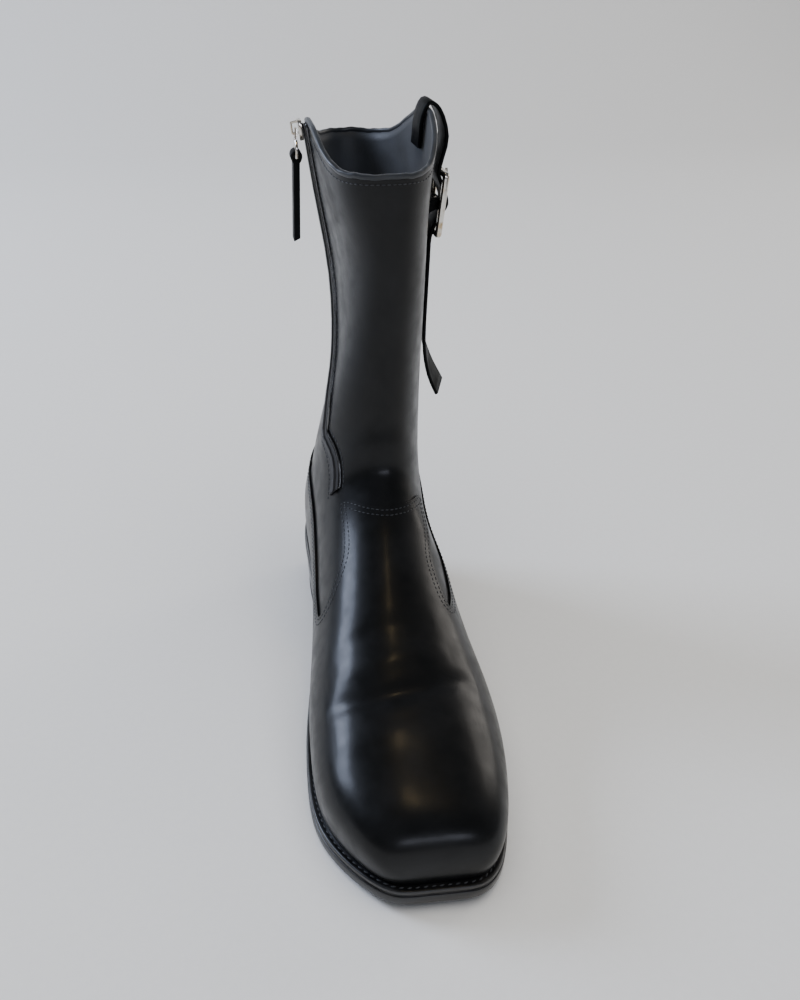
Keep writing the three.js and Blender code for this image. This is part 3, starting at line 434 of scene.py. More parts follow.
    def face(self, s: Numbers, a: Numbers) -> np.ndarray:
        """Places points of the upper's outer face.

        Args:
            s: sections, from 0 at the toe's edge to the top at the collar.
            a: places around, from -1 at the inner base over 0 on the ridge to 1 at the outer base.

        Returns:
            The points, in millimetres.
        """
        s, a = np.broadcast_arrays(np.asarray(s, float), np.asarray(a, float))
        on_foot = s < self.closed
        low, high = np.minimum(s, self.closed), np.clip(s - self.closed, 0.0, None)
        foot_y = spline(self.base_y, low)
        base_y = np.where(on_foot, foot_y, spline(self.back_y, high))
        base_z = np.where(on_foot, self.feather(foot_y), spline(self.back_z, high))
        outer = a >= 0
        belly = np.where(outer, spline(self.belly_outer, s), spline(self.belly_inner, s))
        top, base = spline(self.square_top, s), spline(self.square_base, s)
        belly_share, offset = spline(self.belly, s), spline(self.offset, s)
        edge_outer, edge_inner = spline(self.base_outer, low), spline(self.base_inner, low)
        centre_base = (edge_outer + edge_inner) / 2
        edge = np.where(outer, edge_outer, edge_inner)
        reach = (edge - centre_base) / (belly - centre_base)
        tuck = np.where(on_foot, np.clip(reach, 0.0, np.where(s > 0, self.tuck_limit, 1.0)), 0.0)
        middle = np.where(on_foot, centre_base, offset * ramp(s, self.closed, self.lift_start))
        end = np.pi - np.arcsin(tuck ** (base / 2))
        angle = np.abs(a) * end
        above = angle < np.pi / 2
        square = np.where(above, top, base)
        wide = np.abs(np.sin(angle)) ** (2 / square)
        tall = np.abs(np.cos(angle)) ** (2 / square)
        lowest = np.maximum(np.abs(np.cos(end)) ** (2 / base), TRACE)
        under = belly_share * (1 - np.minimum(tall / lowest, 1.0))
        share = np.where(above, mix(belly_share, 1.0, tall), under)
        x = mix(np.where(above, offset, middle), belly, wide)
        peak = np.where(outer, self.outer_peak, self.inner_peak)
        rise = np.sin(np.pi * np.abs(a)) ** self.peak_narrow
        lift = peak * rise * ramp(s, self.lift_start, self.top)
        y = mix(base_y, spline(self.ridge_y, s), share)
        z = mix(base_z, spline(self.ridge_z, s), share) + lift
        return np.stack((x, y, z), axis=-1)

    def outward(self, s: Numbers, a: Numbers) -> np.ndarray:
        """Gives the outer face's outward directions, which turn level close above the welt.

        Args:
            s: the sections.
            a: the places around.

        Returns:
            The direction at each place.
        """
        s, a = np.broadcast_arrays(np.asarray(s, float), np.asarray(a, float))
        up = self.face(np.minimum(s + self.step, self.top), a)
        along = up - self.face(np.maximum(s - self.step, 0.0), a)
        round_to = self.face(s, np.minimum(a + self.step, 1.0))
        across = round_to - self.face(s, np.maximum(a - self.step, -1.0))
        at_end = np.abs(a) > 1 - self.edge_gap
        back_seam = (s >= self.closed) & at_end
        across = np.where(back_seam[..., None], -ACROSS, across)
        normal = unit(np.cross(across, along))
        point = self.face(s, a)
        height = point[..., 2] - self.feather(point[..., 1])
        normal[..., 2] *= ramp(height, 0.0, self.level_height)
        on_edge = (s < self.closed) & at_end
        normal = np.where(on_edge[..., None], self.feather_out(s, np.sign(a)), unit(normal))
        return np.where((s <= self.edge_gap)[..., None], -BACKWARD, normal)

    def shell(self, s: Numbers, a: Numbers, distance: Numbers) -> np.ndarray:
        """Moves points of the outer face outwards by a distance."""
        return self.face(s, a) + self.outward(s, a) * np.asarray(distance)[..., None]

    def reach(self, y: np.ndarray) -> np.ndarray:
        """Gives how far the welt stands out: most at the forefoot, least at waist and heel."""
        share = (self.heel_back - y) / self.upper_length
        return self.welt_reach * mix(self.heel_reach, 1.0, ramp(share, self.waist, self.forepart))

    def outline(self, first: float, count: int) -> tuple[np.ndarray, np.ndarray]:
        """Walks the feather line from section first on the outer side, round the heel and back.

        Args:
            first: the section to start at, 0 for the toe's edge.
            count: how many points each side gets.

        Returns:
            The points and their level outward directions.
        """
        s = first + (self.closed - first) * np.linspace(0.0, 1.0, count)
        sections = np.concatenate((s, s[:-1][::-1]))
        signs = np.concatenate((np.ones(count), -np.ones(count - 1)))
        return self.feather_point(sections, signs), self.feather_out(sections, signs)

    def breast_section(self) -> float:
        """Finds the section whose feather line lies at the heel's front face."""
        s = np.linspace(0.0, self.closed, self.fine)
        return float(np.interp(float(self.along(self.breast)), spline(self.base_y, s), s))


LAST = Last()


@dataclass
class Seam:
    """The line where the vamp and the counter end on the shaft, as places (s, a) on the last.

    Attributes:
        step: points of the drawn curve for each row of a table.
        first: the first section that is searched.
        grid: how many sections and places around the search starts from.
        passes: how many of Newton's steps follow.
        nudge: the small step that measures how fast the last's face runs.
        lowest_a: the nearest to the ridge that a found place may lie.
        fine: sections of the back line that are looked at.
        near_back: how far before the back line the drawn line is left for a straight end.
        ridge_span: the sections between which the line crosses the ridge.
        ridge_steps: sections that are looked at there.
    """

    step: int = 14
    first: float = 5.0
    grid: tuple[int, int] = (500, 260)
    passes: int = 6
    nudge: float = 1e-3
    lowest_a: float = 0.02
    fine: int = 600
    near_back: float = 0.8
    ridge_span: tuple[float, float] = (9.0, 15.0)
    ridge_steps: int = 900

    # Each half in side view: along (share of the upper's length), up (share of the instep's height).
    OUTER_TONGUE: ClassVar = (
        (0.41, 0.775),
        (0.355, 0.745),
        (0.345, 0.69),
        (0.39, 0.59),
        (0.462, 0.5),
        (0.505, 0.42),
        (0.54, 0.345),
        (0.552, 0.3),
    )
    OUTER_COUNTER: ClassVar = (
        (0.552, 0.3),
        (0.49, 0.3),
        (0.41, 0.37),
        (0.31, 0.5),
        (0.2, 0.63),
        (0.1, 0.7),
        (-0.1, 0.72),
    )
    INNER_TONGUE: ClassVar = (
        (0.41, 0.775),
        (0.362, 0.76),
        (0.36, 0.69),
        (0.448, 0.52),
        (0.495, 0.35),
        (0.512, 0.24),
        (0.505, 0.165),
    )
    INNER_COUNTER: ClassVar = (
        (0.505, 0.165),
        (0.43, 0.2),
        (0.33, 0.34),
        (0.24, 0.5),
        (0.15, 0.62),
        (0.06, 0.7),
        (-0.1, 0.72),
    )

    def curve(self, rows: Sequence[Sequence[float]]) -> np.ndarray:
        """Draws a smooth line through a table's rows.

        Args:
            rows: the table.

        Returns:
            The line's points in side view, y and z.
        """
        p = np.array(rows)
        p = np.stack((LAST.along(p[:, 0]), LAST.seat + p[:, 1] * LAST.instep_height), axis=1)
        out = []
        for i in range(len(p) - 1):
            before, after = p[max(i - 1, 0)], p[min(i + 2, len(p) - 1)]
            v0, v1 = (p[i + 1] - before) / 2, (after - p[i]) / 2
            t = np.linspace(0.0, 1.0, self.step, endpoint=False)[:, None]
            cubic = (2 * t**3 - 3 * t**2 + 1) * p[i] + (t**3 - 2 * t**2 + t) * v0
            out.append(cubic + (3 * t**2 - 2 * t**3) * p[i + 1] + (t**3 - t**2) * v1)
        return np.vstack((*out, p[-1:]))

    def find(self, drawn: np.ndarray, sign: float) -> np.ndarray:
        """Finds the places on the last that lie behind a line in side view.

        The nearest points of a grid are the start, and Newton's steps bring them onto the line.

        Args:
            drawn: the line's points, y and z.
            sign: the side of the boot, by the sign of x.

        Returns:
            Rows of (s, a), with a from 0 to 1.
        """
        many_s, many_a = self.grid
        s_grid, a_grid = np.meshgrid(
            np.linspace(self.first, LAST.top, many_s), np.linspace(0.0, 1.0, many_a)
        )
        flat = LAST.face(s_grid, a_grid * sign).reshape(-1, 3)[:, 1:]
        places = np.stack((s_grid.ravel(), a_grid.ravel()), axis=1)
        found = np.array([places[np.argmin(((flat - p) ** 2).sum(axis=1))] for p in drawn])
        for _ in range(self.passes):
            s, a = found[:, 0], found[:, 1]
            here = LAST.face(s, a * sign)[:, 1:]
            d_s = (LAST.face(s + self.nudge, a * sign)[:, 1:] - here) / self.nudge
            d_a = (LAST.face(s, (a - self.nudge) * sign)[:, 1:] - here) / -self.nudge
            det = d_s[:, 0] * d_a[:, 1] - d_s[:, 1] * d_a[:, 0]
            det = np.where(np.abs(det) < self.nudge, HUGE, det)
            miss = drawn - here
            found[:, 0] += (miss[:, 0] * d_a[:, 1] - miss[:, 1] * d_a[:, 0]) / det
            found[:, 1] += (d_s[:, 0] * miss[:, 1] - d_s[:, 1] * miss[:, 0]) / det
            found[:, 1] = np.clip(found[:, 1], self.lowest_a, 1.0)
        return found

    def half(self, side: Side) -> np.ndarray:
        """Finds the half of the line on one side, from the ridge round to the back.

        Args:
            side: the side of the boot.

        Returns:
            Rows of (s, a).
        """
        outer = side is Side.OUTER
        tongue = self.curve(self.OUTER_TONGUE if outer else self.INNER_TONGUE)
        counter = self.curve(self.OUTER_COUNTER if outer else self.INNER_COUNTER)
        drawn = np.vstack((tongue, counter[1:]))
        found = self.find(drawn, side.value)
        rows = np.linspace(LAST.closed, LAST.top, self.fine)
        back = LAST.face(rows, 1.0)
        beyond = drawn[:, 0] - np.interp(drawn[:, 1], back[:, 2], back[:, 1])
        found = found[: int(np.argmax(beyond > -self.near_back))]
        end = int(np.argmax(beyond > 0))
        height = np.interp(0.0, beyond[end - 1 : end + 1], drawn[end - 1 : end + 1, 1])
        tail = float(np.interp(height, back[:, 2], rows))
        a_front = np.linspace(0.0, found[0, 1], self.step * 2)[:-1]
        rows = np.linspace(*self.ridge_span, self.ridge_steps)
        heights = LAST.face(rows[:, None], a_front[None, :] * side.value)[..., 2]
        s_front = [np.interp(drawn[0, 1], heights[:, k], rows) for k in range(len(a_front))]
        whole = np.vstack((np.stack((s_front, a_front), axis=1), found, [[tail, 1.0]]))
        whole[:, 1] *= side.value
        return whole

    def line(self) -> np.ndarray:
        """Joins both halves, from the back over the inner side and the ridge to the back again.

        Returns:
            Rows of (s, a).
        """
        inner, outer = self.half(Side.INNER), self.half(Side.OUTER)
        height = (inner[-1, 0] + outer[-1, 0]) / 2
        inner[-1, 0] = outer[-1, 0] = height
        return np.vstack((inner[::-1], outer[1:]))


@dataclass(frozen=True)
class Fold:
    """A soft trough or ridge along a line on the last.

    Attributes:
        line: places (s, a) that it runs through.
        width: how far its sides reach, in millimetres.
        depth: its height in millimetres, below zero for a trough.
        fade: how blunt its ends are, from 0 for blunt to 1 for long and thin.
        detail: points of its track for each place of the line.
    """

    line: tuple[tuple[float, float], ...]
    width: float
    depth: float
    fade: float = 0.7
    detail: int = 6

    def height(self, points: np.ndarray) -> np.ndarray:
        """Gives the fold's height.

        Args:
            points: points of the outer face.

        Returns:
            The height at each of them.
        """
        places = np.array(self.line)
        fine = np.linspace(0, len(places) - 1, self.detail * len(places))
        track = LAST.face(spline(places[:, 0], fine), spline(places[:, 1], fine))
        near, spots = to_track(points, track)
        share = np.clip(spots / (len(track) - 1), 0.0, 1.0)
        return self.depth * np.exp(-((near / self.width) ** 2)) * np.sin(np.pi * share) ** self.fade


@dataclass(frozen=True)
class Leather:
    """The surface of the worn leather: the last with its creases and swells.

    Attributes:
        heel_blend: how many sections round the heel's corner are rounded.
        heel_reach: how many sections to each side the rounding averages.
        heel_steps: how many sections it averages.
        heel_side: the places around where the rounding starts and is full.
        feather_keep: how far around from the feather line it fades out.
    """

    heel_blend: float = 0.8
    heel_reach: float = 0.7
    heel_steps: int = 7
    heel_side: tuple[float, float] = (0.35, 0.6)
    feather_keep: float = 0.06

    # Creases and swells of the worn leather, in the boot's own sizes.
    FOLDS: ClassVar = (
        Fold(((6.9, -0.5), (6.75, -0.3), (6.6, -0.12), (6.75, 0.08), (7.0, 0.3), (7.2, 0.48)), 5.0, -1.4),
        Fold(((7.5, -0.48), (7.4, -0.28), (7.35, -0.1), (7.5, 0.12), (7.7, 0.32)), 6.0, 0.7),
        Fold(((8.1, -0.42), (8.05, -0.2), (8.1, 0.02), (8.3, 0.25)), 5.0, -0.4),
        Fold(((6.0, -0.45), (5.85, -0.2), (5.9, 0.1), (6.1, 0.4)), 7.0, 0.45),
        Fold(((13.6, -0.45), (13.2, -0.2), (13.1, 0.0), (13.3, 0.25), (13.8, 0.45)), 6.0, -0.7),
        Fold(((14.7, -0.4), (14.4, -0.1), (14.5, 0.2), (14.9, 0.42)), 6.0, 0.5),
        Fold(((15.9, -0.35), (15.6, 0.0), (15.9, 0.35)), 7.0, -0.4),
        Fold(((17.5, 0.62), (16.2, 0.6), (15.2, 0.66)), 8.0, -0.6),
        Fold(((18.5, -0.7), (17.6, -0.62), (16.8, -0.66)), 8.0, -0.6),
    )

    def skin(self, s: np.ndarray, a: np.ndarray, distance: Numbers) -> np.ndarray:
        """Places points on the creased leather, a distance above it.

        The heel's corner, where the foot's sections meet the leg's, is rounded by an average over
        the sections around it. The feather line stays where it is.

        Args:
            s: the points' sections.
            a: their places around.
            distance: how far above the leather they are, in millimetres.

        Returns:
            The points.
        """
        face = LAST.face(s, a)
        height = sum(fold.height(face) for fold in self.FOLDS) + distance
        side = np.abs(a)
        near = np.exp(-(((s - LAST.closed) / self.heel_blend) ** 2)) * ramp(side, *self.heel_side)
        near = near * ramp(1 - side, 0.0, self.feather_keep)
        steps = np.linspace(-self.heel_reach, self.heel_reach, self.heel_steps)
        around = [LAST.shell(np.clip(s + step, 0.0, LAST.top), a, height) for step in steps]
        return mix(LAST.shell(s, a, height), sum(around) / len(around), near[..., None])


LEATHER = Leather()


# Mesh making --------------------------------------------------------------


def grid(columns: int, rows: int) -> tuple[Mesh, np.ndarray, np.ndarray]:
    """Makes a flat grid.

    Args:
        columns: faces across.
        rows: faces along.

    Returns:
        The grid, and the shares across and along of its points, from 0 to 1.
    """
    bm = bmesh.new()
    bmesh.ops.create_grid(bm, x_segments=columns, y_segments=rows, size=0.5)
    shares = np.array([v.co[:2] for v in bm.verts]) + 0.5
    return bm, shares[:, 0], shares[:, 1]


def settle(bm: Mesh, points: np.ndarray) -> None:
    """Moves a bmesh's points, in their order."""
    for vert, point in zip(bm.verts, points):
        vert.co = point


def patch(columns: int, rows: int, place: Callable[[np.ndarray, np.ndarray], np.ndarray]) -> Mesh:
    """Makes a grid and sets each of its points by its shares across and along.

    Args:
        columns: faces across.
        rows: faces along.
        place: gives the points for arrays of shares u across and v along.

    Returns:
        The grid in its shape.
    """
    bm, u, v = grid(columns, rows)
    settle(bm, place(u, v))
    return bm


def tube(rings: np.ndarray, round_end: bool) -> Mesh:
    """Joins rings of points into a closed shape.

    Args:
        rings: the rings, each with as many points.
        round_end: whether the last ring is joined to the first. If not, both are filled.

    Returns:
        The shape, with its faces outwards.
    """
    count, size = rings.shape[:2]
    last = count if round_end else count - 1

    def place(u: np.ndarray, v: np.ndarray) -> np.ndarray:
        """Reads the rings' points by their shares."""
        i = np.round(u * size).astype(int) % size
        j = np.round(v * last).astype(int) % count
        return rings[j, i]

    bm = patch(size, last, place)
    weld(bm)
    rim = [edge for edge in bm.edges if edge.is_boundary]
    if rim:
        bmesh.ops.holes_fill(bm, edges=rim, sides=0)
    bmesh.ops.recalc_face_normals(bm, faces=bm.faces)
    return bm


def weld(bm: Mesh, distance: float = 0.01) -> None:
    """Joins points that lie together."""
    bmesh.ops.remove_doubles(bm, verts=bm.verts, dist=distance)


def sweep(
    path: np.ndarray, side: np.ndarray, out: np.ndarray, profile: np.ndarray, ring: bool = False
) -> Mesh:
    """Carries a closed profile along a path.

    Args:
        path: the path's points.
        side: the profile's first axis at each point.
        out: the profile's second axis at each point.
        profile: the profile's points.
        ring: whether the path returns to its start.

    Returns:
        A closed shape.
    """
    across, up = profile[None, :, :1], profile[None, :, 1:]
    return tube(path[:, None, :] + side[:, None, :] * across + out[:, None, :] * up, ring)


def join(parts: Sequence[Mesh]) -> Mesh:
    """Puts several bmeshes into one.

    Args:
        parts: the bmeshes, which are freed.

    Returns:
        The whole.
    """
    whole = bmesh.new()
    for part in parts:
        mesh = bpy.data.meshes.new("part")
        part.to_mesh(mesh)
        part.free()
        whole.from_mesh(mesh)
        bpy.data.meshes.remove(mesh)
    return whole


def stitches(
    points: np.ndarray,
    normals: np.ndarray,
    pitch: float,
    size: tuple[float, float, float],
    slant: float = 0.0,
    closed: bool = False,
) -> Mesh:
    """Lays a row of stitches along a line.

    Args:
        points: the line's points.
        normals: the surface's outward direction at each.
        pitch: from one stitch to the next.
        size: a stitch's length, width and height.
        slant: how far it turns from the line, in degrees.
        closed: whether the line returns to its start.

    Returns:
        The stitches.
    """
    both = resample(np.hstack((points, normals)), pitch, closed)
    spots, ups = both[:, :3], unit(both[:, 3:])
    if closed:
        ahead = np.roll(spots, -1, axis=0)
    else:
        ahead = np.vstack((spots[1:], 2 * spots[-1] - spots[-2]))
    bm = bmesh.new()
    for spot, run, up in zip(spots, unit(ahead - spots), ups):
        up = Vector(up)
        run = (Vector(run) - up * up.dot(Vector(run))).normalized()
        run = Matrix.Rotation(math.radians(slant), 3, up) @ run
        axes = Matrix((run * size[0], up.cross(run) * size[1], up * size[2])).transposed().to_4x4()
        place = Matrix.Translation(Vector(spot)) @ axes
        bmesh.ops.create_uvsphere(bm, u_segments=6, v_segments=4, radius=0.5, matrix=place)
    return bm


def shown(name: str, bm: Mesh, finishes: Sequence[Material]) -> bpy.types.Object:
    """Makes a smooth object of a bmesh in millimetres.

    Args:
        name: the object's name.
        bm: its shape, which is freed.
        finishes: its materials, in the order of its faces' indices.

    Returns:
        The new object, in metres.
    """
    bmesh.ops.scale(bm, vec=(MM, MM, MM), verts=bm.verts)
    mesh = bpy.data.meshes.new(name)
    bm.to_mesh(mesh)
    bm.free()
    mesh.polygons.foreach_set("use_smooth", [True] * len(mesh.polygons))
    for finish in finishes:
        mesh.materials.append(finish)
    obj = bpy.data.objects.new(name, mesh)
    bpy.context.scene.collection.objects.link(obj)
    return obj


def piece(
    name: str,
    bm: Mesh,
    finishes: Sequence[Material],
    slot: str,
    body: str = BOOT,
    replaces: Sequence[str] = (),
) -> bpy.types.Object:
    """Makes a finished piece, hangs it on its body and hides the solids that it stands for.

    Args:
        name: the piece's name.
        bm: its shape in millimetres, which is freed.
        finishes: its materials, in the order of its faces' indices.
        slot: the material slot meant for it; it is not used.
        body: the body that it rides on.
        replaces: the solids that it stands for.

    Returns:
        The new object.
    """
    obj = shown(name, bm, finishes)
    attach(obj, body)
    if replaces:
        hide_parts(*replaces)
    LOG.info("%s: %d faces", name, len(obj.data.polygons))
    return obj


def dress(name: str, finish: Material) -> None:
    """Gives a solid that is shown as it is its finish."""
    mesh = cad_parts[name].data
    mesh.materials.clear()
    mesh.materials.append(finish)
    LOG.info("%s: dressed", name)


def thicken(obj: bpy.types.Object, wall: float) -> bpy.types.SolidifyModifier:
    """Gives a sheet a wall on its inner side.

    Args:
        obj: the sheet.
        wall: how thick it gets, in millimetres.

    Returns:
        The modifier.
    """
    solid = obj.modifiers.new("wall", "SOLIDIFY")
    solid.thickness = wall * MM
    solid.offset = -1.0
    solid.use_even_offset = False
    return solid


def round_edges(obj: bpy.types.Object, width: float, angle: float = 40.0) -> None:
    """Rounds a shape's sharp edges.

    Args:
        obj: the shape.
        width: how wide the rounding is, in millimetres.
        angle: the smallest angle between faces that counts as sharp, in degrees.
    """
    edge = obj.modifiers.new("edge", "BEVEL")
    edge.limit_method = "ANGLE"
    edge.angle_limit = math.radians(angle)
    edge.width = width * MM
    edge.segments = 2
    edge.harden_normals = True


# Finishes -----------------------------------------------------------------


@dataclass(frozen=True)
class Pattern:
    """One scale of a surface's unevenness, in the object's own coordinates.

    Attributes:
        size_mm: how far apart its blotches or cells are.
        detail: how much finer unevenness it holds.
        kind: a soft or ridged noise, or round cells.
        squeeze: how many times finer it is along x, y and z.
    """

    size_mm: float
    detail: float = 3.0
    kind: Grain = Grain.SOFT
    squeeze: tuple[float, float, float] = (1.0, 1.0, 1.0)


@dataclass(frozen=True)
class Relief:
    """A pattern that is felt: its depth, and how strongly it shows."""

    pattern: Pattern
    depth_mm: float
    strength: float


@dataclass
class Recipe:
    """A material under construction.

    Attributes:
        name: its name.
        material: the material.
        drawn: the value of each pattern that is drawn already.
    """

    name: str
    material: bpy.types.Material = field(init=False)
    drawn: dict[Pattern, bpy.types.NodeSocket] = field(default_factory=dict)

    def __post_init__(self) -> None:
        """Starts from an empty node tree with its shader."""
        self.material = bpy.data.materials.new(self.name)
        self.material.use_nodes = True
        self.tree = self.material.node_tree
        self.shader = self.tree.nodes["Principled BSDF"]

    def feed(self, node: bpy.types.Node, inputs: dict) -> None:
        """Gives a node its inputs.

        Args:
            node: the node.
            inputs: input name or number to the output socket that feeds it, or to a plain value.
        """
        for key, value in inputs.items():
            if isinstance(value, bpy.types.NodeSocket):
                self.tree.links.new(value, node.inputs[key])
            else:
                node.inputs[key].default_value = value

    def add(self, kind: str, inputs: dict, output: int | str = 0, **settings) -> bpy.types.NodeSocket:
        """Adds a node with its settings and inputs.

        Args:
            kind: the node's type.
            inputs: what feed takes.
            output: the name or number of the output that is wanted.
            settings: the node's own properties.

        Returns:
            That output.
        """
        node = self.tree.nodes.new(kind)
        for key, value in settings.items():
            setattr(node, key, value)
        self.feed(node, inputs)
        return node.outputs[output]

    def draw(self, pattern: Pattern) -> bpy.types.NodeSocket:
        """Draws a pattern once and gives its value, from 0 to 1.

        Args:
            pattern: the pattern.

        Returns:
            The socket that holds its value.
        """
        if pattern not in self.drawn:
            where = self.add("ShaderNodeTexCoord", {}, "Object")
            where = self.add("ShaderNodeMapping", {0: where, "Scale": pattern.squeeze})
            inputs = {"Vector": where, "Scale": 1 / (pattern.size_mm * MM)}
            if pattern.kind is Grain.CELLS:
                self.drawn[pattern] = self.add("ShaderNodeTexVoronoi", inputs)
            else:
                inputs["Detail"] = pattern.detail
                kind = pattern.kind.value
                self.drawn[pattern] = self.add("ShaderNodeTexNoise", inputs, noise_type=kind)
        return self.drawn[pattern]


@dataclass(frozen=True)
class Finish:
    """A surface of two colours in patches, with an uneven gloss and a relief.

    Attributes:
        name: the material's name.
        colour: its colour.
        worn: its second colour: where it is rubbed, dusty or dull, but on the thread the lighter ply
            crests against painted shade, and on the nickel a painted warm reflection.
        roughness: its roughness.
        uneven: how far the roughness goes below and above that.
        patches: where the second colour lies.
        patch_range: the pattern's values at which that colour starts and is full.
        dulling: where it is rougher, if that isn't in the same patches.
        dull_range: the pattern's values at which it is smoothest and roughest.
        relief: its relief, from the lowest layer to the highest.
        coat_relief: how many of these layers the coat follows.
    """

    name: str
    colour: str
    worn: str
    roughness: float = 0.5
    uneven: tuple[float, float] = (0.0, 0.0)
    patches: Pattern = Pattern(10.0)
    patch_range: tuple[float, float] = (0.0, 1.0)
    dulling: Optional[Pattern] = None
    dull_range: tuple[float, float] = (0.3, 0.8)
    relief: tuple[Relief, ...] = ()
    coat_relief: int = 0

    def sockets(self) -> dict[str, float]:
        """Gives the shader's values that are the same all over the surface."""
        return {}

    def make(self) -> bpy.types.Material:
        """Builds the material."""
        r = Recipe(self.name)
        inputs = {"Roughness": self.roughness, **self.sockets()}
        low, high = self.patch_range
        share = r.add("ShaderNodeMapRange", {0: r.draw(self.patches), 1: low, 2: high})
        pair = {0: share, 6: linear(self.colour), 7: linear(self.worn)}
        inputs["Base Color"] = r.add("ShaderNodeMix", pair, 2, data_type="RGBA")
        if any(self.uneven):
            dull = {0: r.draw(self.dulling or self.patches)}
            dull[1], dull[2] = self.dull_range
            dull[3], dull[4] = (self.roughness + step for step in self.uneven)
            inputs["Roughness"] = r.add("ShaderNodeMapRange", dull)
        for layer, part in enumerate(self.relief, 1):
            bump = {"Height": r.draw(part.pattern), "Distance": part.depth_mm * MM}
            bump["Strength"] = part.strength
            if "Normal" in inputs:
                bump["Normal"] = inputs["Normal"]
            inputs["Normal"] = r.add("ShaderNodeBump", bump)
            if layer == self.coat_relief:
                inputs["Coat Normal"] = inputs["Normal"]
        r.feed(r.shader, inputs)
        return r.material


@dataclass(frozen=True)
class BoxCalf(Finish):
    """Black box calf: aniline-dyed calf leather, glazed and polished.

    The glaze gives long, soft reflections over fine pores and faint break wrinkles. The pores are
    drawn at 0.7 mm, wider than real ones, so that they show.

    Attributes:
        gloss: how much the leather and its glaze reflect.
        glaze: how rough the glaze is.
    """

    name: str = "black_box_calf"
    colour: str = "#08090a"
    worn: str = "#121315"
    roughness: float = 0.36
    gloss: float = 0.18
    glaze: float = 0.21
    uneven: tuple[float, float] = (-0.05, 0.14)
    patches: Pattern = Pattern(30.0, 4.0)
    patch_range: tuple[float, float] = (0.45, 0.75)
    dulling: Pattern = Pattern(9.0, 6.0)
    dull_range: tuple[float, float] = (0.35, 0.75)
    relief: tuple[Relief, ...] = (
        Relief(Pattern(22.0, 2.0), 0.8, 0.2),
        Relief(Pattern(3.5, 3.0, Grain.RIDGED, (1.0, 1.0, 1.6)), 0.12, 0.12),
        Relief(Pattern(0.7, kind=Grain.CELLS), 0.05, 0.22),
    )
    coat_relief: int = 2

    def sockets(self) -> dict[str, float]:
        """Gives the glaze: a coat whose weight follows the gloss."""
        return {
            "IOR": 1.5,
            "Specular IOR Level": self.gloss,
            "Coat Weight": self.gloss,
            "Coat Roughness": self.glaze,
            "Coat IOR": 1.5,
        }


@dataclass(frozen=True)
class EdgeLeather(Finish):
    """Sole leather dyed black and waxed at its edge: dense, with faint layers and a satin look.

    Dust gathers in soft patches. The fibres' layers lie level, about 1 mm apart.
    """

    name: str = "sole_leather_edge"
    colour: str = "#0c0c0d"
    worn: str = "#1c1b1a"
    roughness: float = 0.36
    uneven: tuple[float, float] = (-0.08, 0.2)
    patches: Pattern = Pattern(12.0, 5.0)
    patch_range: tuple[float, float] = (0.45, 0.8)
    relief: tuple[Relief, ...] = (
        Relief(Pattern(1.1, 2.0, squeeze=(0.06, 0.06, 1.0)), 0.15, 0.35),
        Relief(Pattern(0.8), 0.05, 0.3),
    )

    def sockets(self) -> dict[str, float]:
        """Gives the wax: a thin satin coat."""
        return {"IOR": 1.5, "Coat Weight": 0.25, "Coat Roughness": 0.25}


@dataclass(frozen=True)
class MouldedRubber(Finish):
    """Black moulded rubber of the heel's top piece: matt, with a fine pebble."""

    name: str = "moulded_rubber"
    colour: str = "#121213"
    worn: str = "#242322"
    roughness: float = 0.6
    uneven: tuple[float, float] = (0.0, 0.25)
    patches: Pattern = Pattern(8.0, 5.0)
    patch_range: tuple[float, float] = (0.45, 0.8)
    relief: tuple[Relief, ...] = (Relief(Pattern(1.0), 0.1, 0.35),)


@dataclass(frozen=True)
class LiningLeather(Finish):
    """Dark grey-blue lining leather, rubbed smooth: matt, with a soft sheen."""

    name: str = "lining_leather"
    colour: str = "#181b20"
    worn: str = "#292e35"
    roughness: float = 0.58
    uneven: tuple[float, float] = (-0.1, 0.15)
    patches: Pattern = Pattern(25.0, 5.0)
    patch_range: tuple[float, float] = (0.35, 0.75)
    relief: tuple[Relief, ...] = (Relief(Pattern(1.2, 4.0), 0.12, 0.35),)

    def sockets(self) -> dict[str, float]:
        """Gives the sheen of the rubbed fibres."""
        return {"Sheen Weight": 0.15, "Sheen Roughness": 0.5}


@dataclass(frozen=True)
class WaxedThread(Finish):
    """Waxed polyester thread in short stitches: a soft gloss, darker between its plies, which is painted
    shade: the colour follows the relief and is lighter on its crests.
    """

    uneven: tuple[float, float] = (-0.1, 0.1)
    # The same pattern as the relief: the first colour is painted shade in its hollows between the plies,
    # and the second lightens its crests.
    patches: Pattern = Pattern(0.9, 2.0)
    dull_range: tuple[float, float] = (0.3, 0.7)
    relief: tuple[Relief, ...] = (Relief(Pattern(0.9, 2.0), 0.08, 0.4),)


@dataclass(frozen=True)
class WovenTape(Finish):
    """Black woven polyester zip tape: matt, with a plain weave of round threads and some fuzz.

    The threads are drawn at 0.8 mm, about twice as wide as real ones, so that they show.
    """

    name: str = "zip_tape"
    colour: str = "#0b0b0c"
    worn: str = "#1d1d1f"
    roughness: float = 0.85
    patches: Pattern = Pattern(3.0, 4.0)
    relief: tuple[Relief, ...] = (Relief(Pattern(0.8, kind=Grain.CELLS), 0.15, 0.5),)

    def sockets(self) -> dict[str, float]:
        """Gives the sheen of the fuzz."""
        return {"Sheen Weight": 0.2}


@dataclass(frozen=True)
class CoilNylon(Finish):
    """Black nylon of the zip's coil: drawn smooth and slightly glossy."""

    name: str = "zip_coil"
    colour: str = "#101012"
    worn: str = "#26272a"
    roughness: float = 0.3
    uneven: tuple[float, float] = (0.0, 0.15)
    patches: Pattern = Pattern(2.5)
    dull_range: tuple[float, float] = (0.3, 0.7)
    relief: tuple[Relief, ...] = (Relief(Pattern(2.5), 0.05, 0.2),)


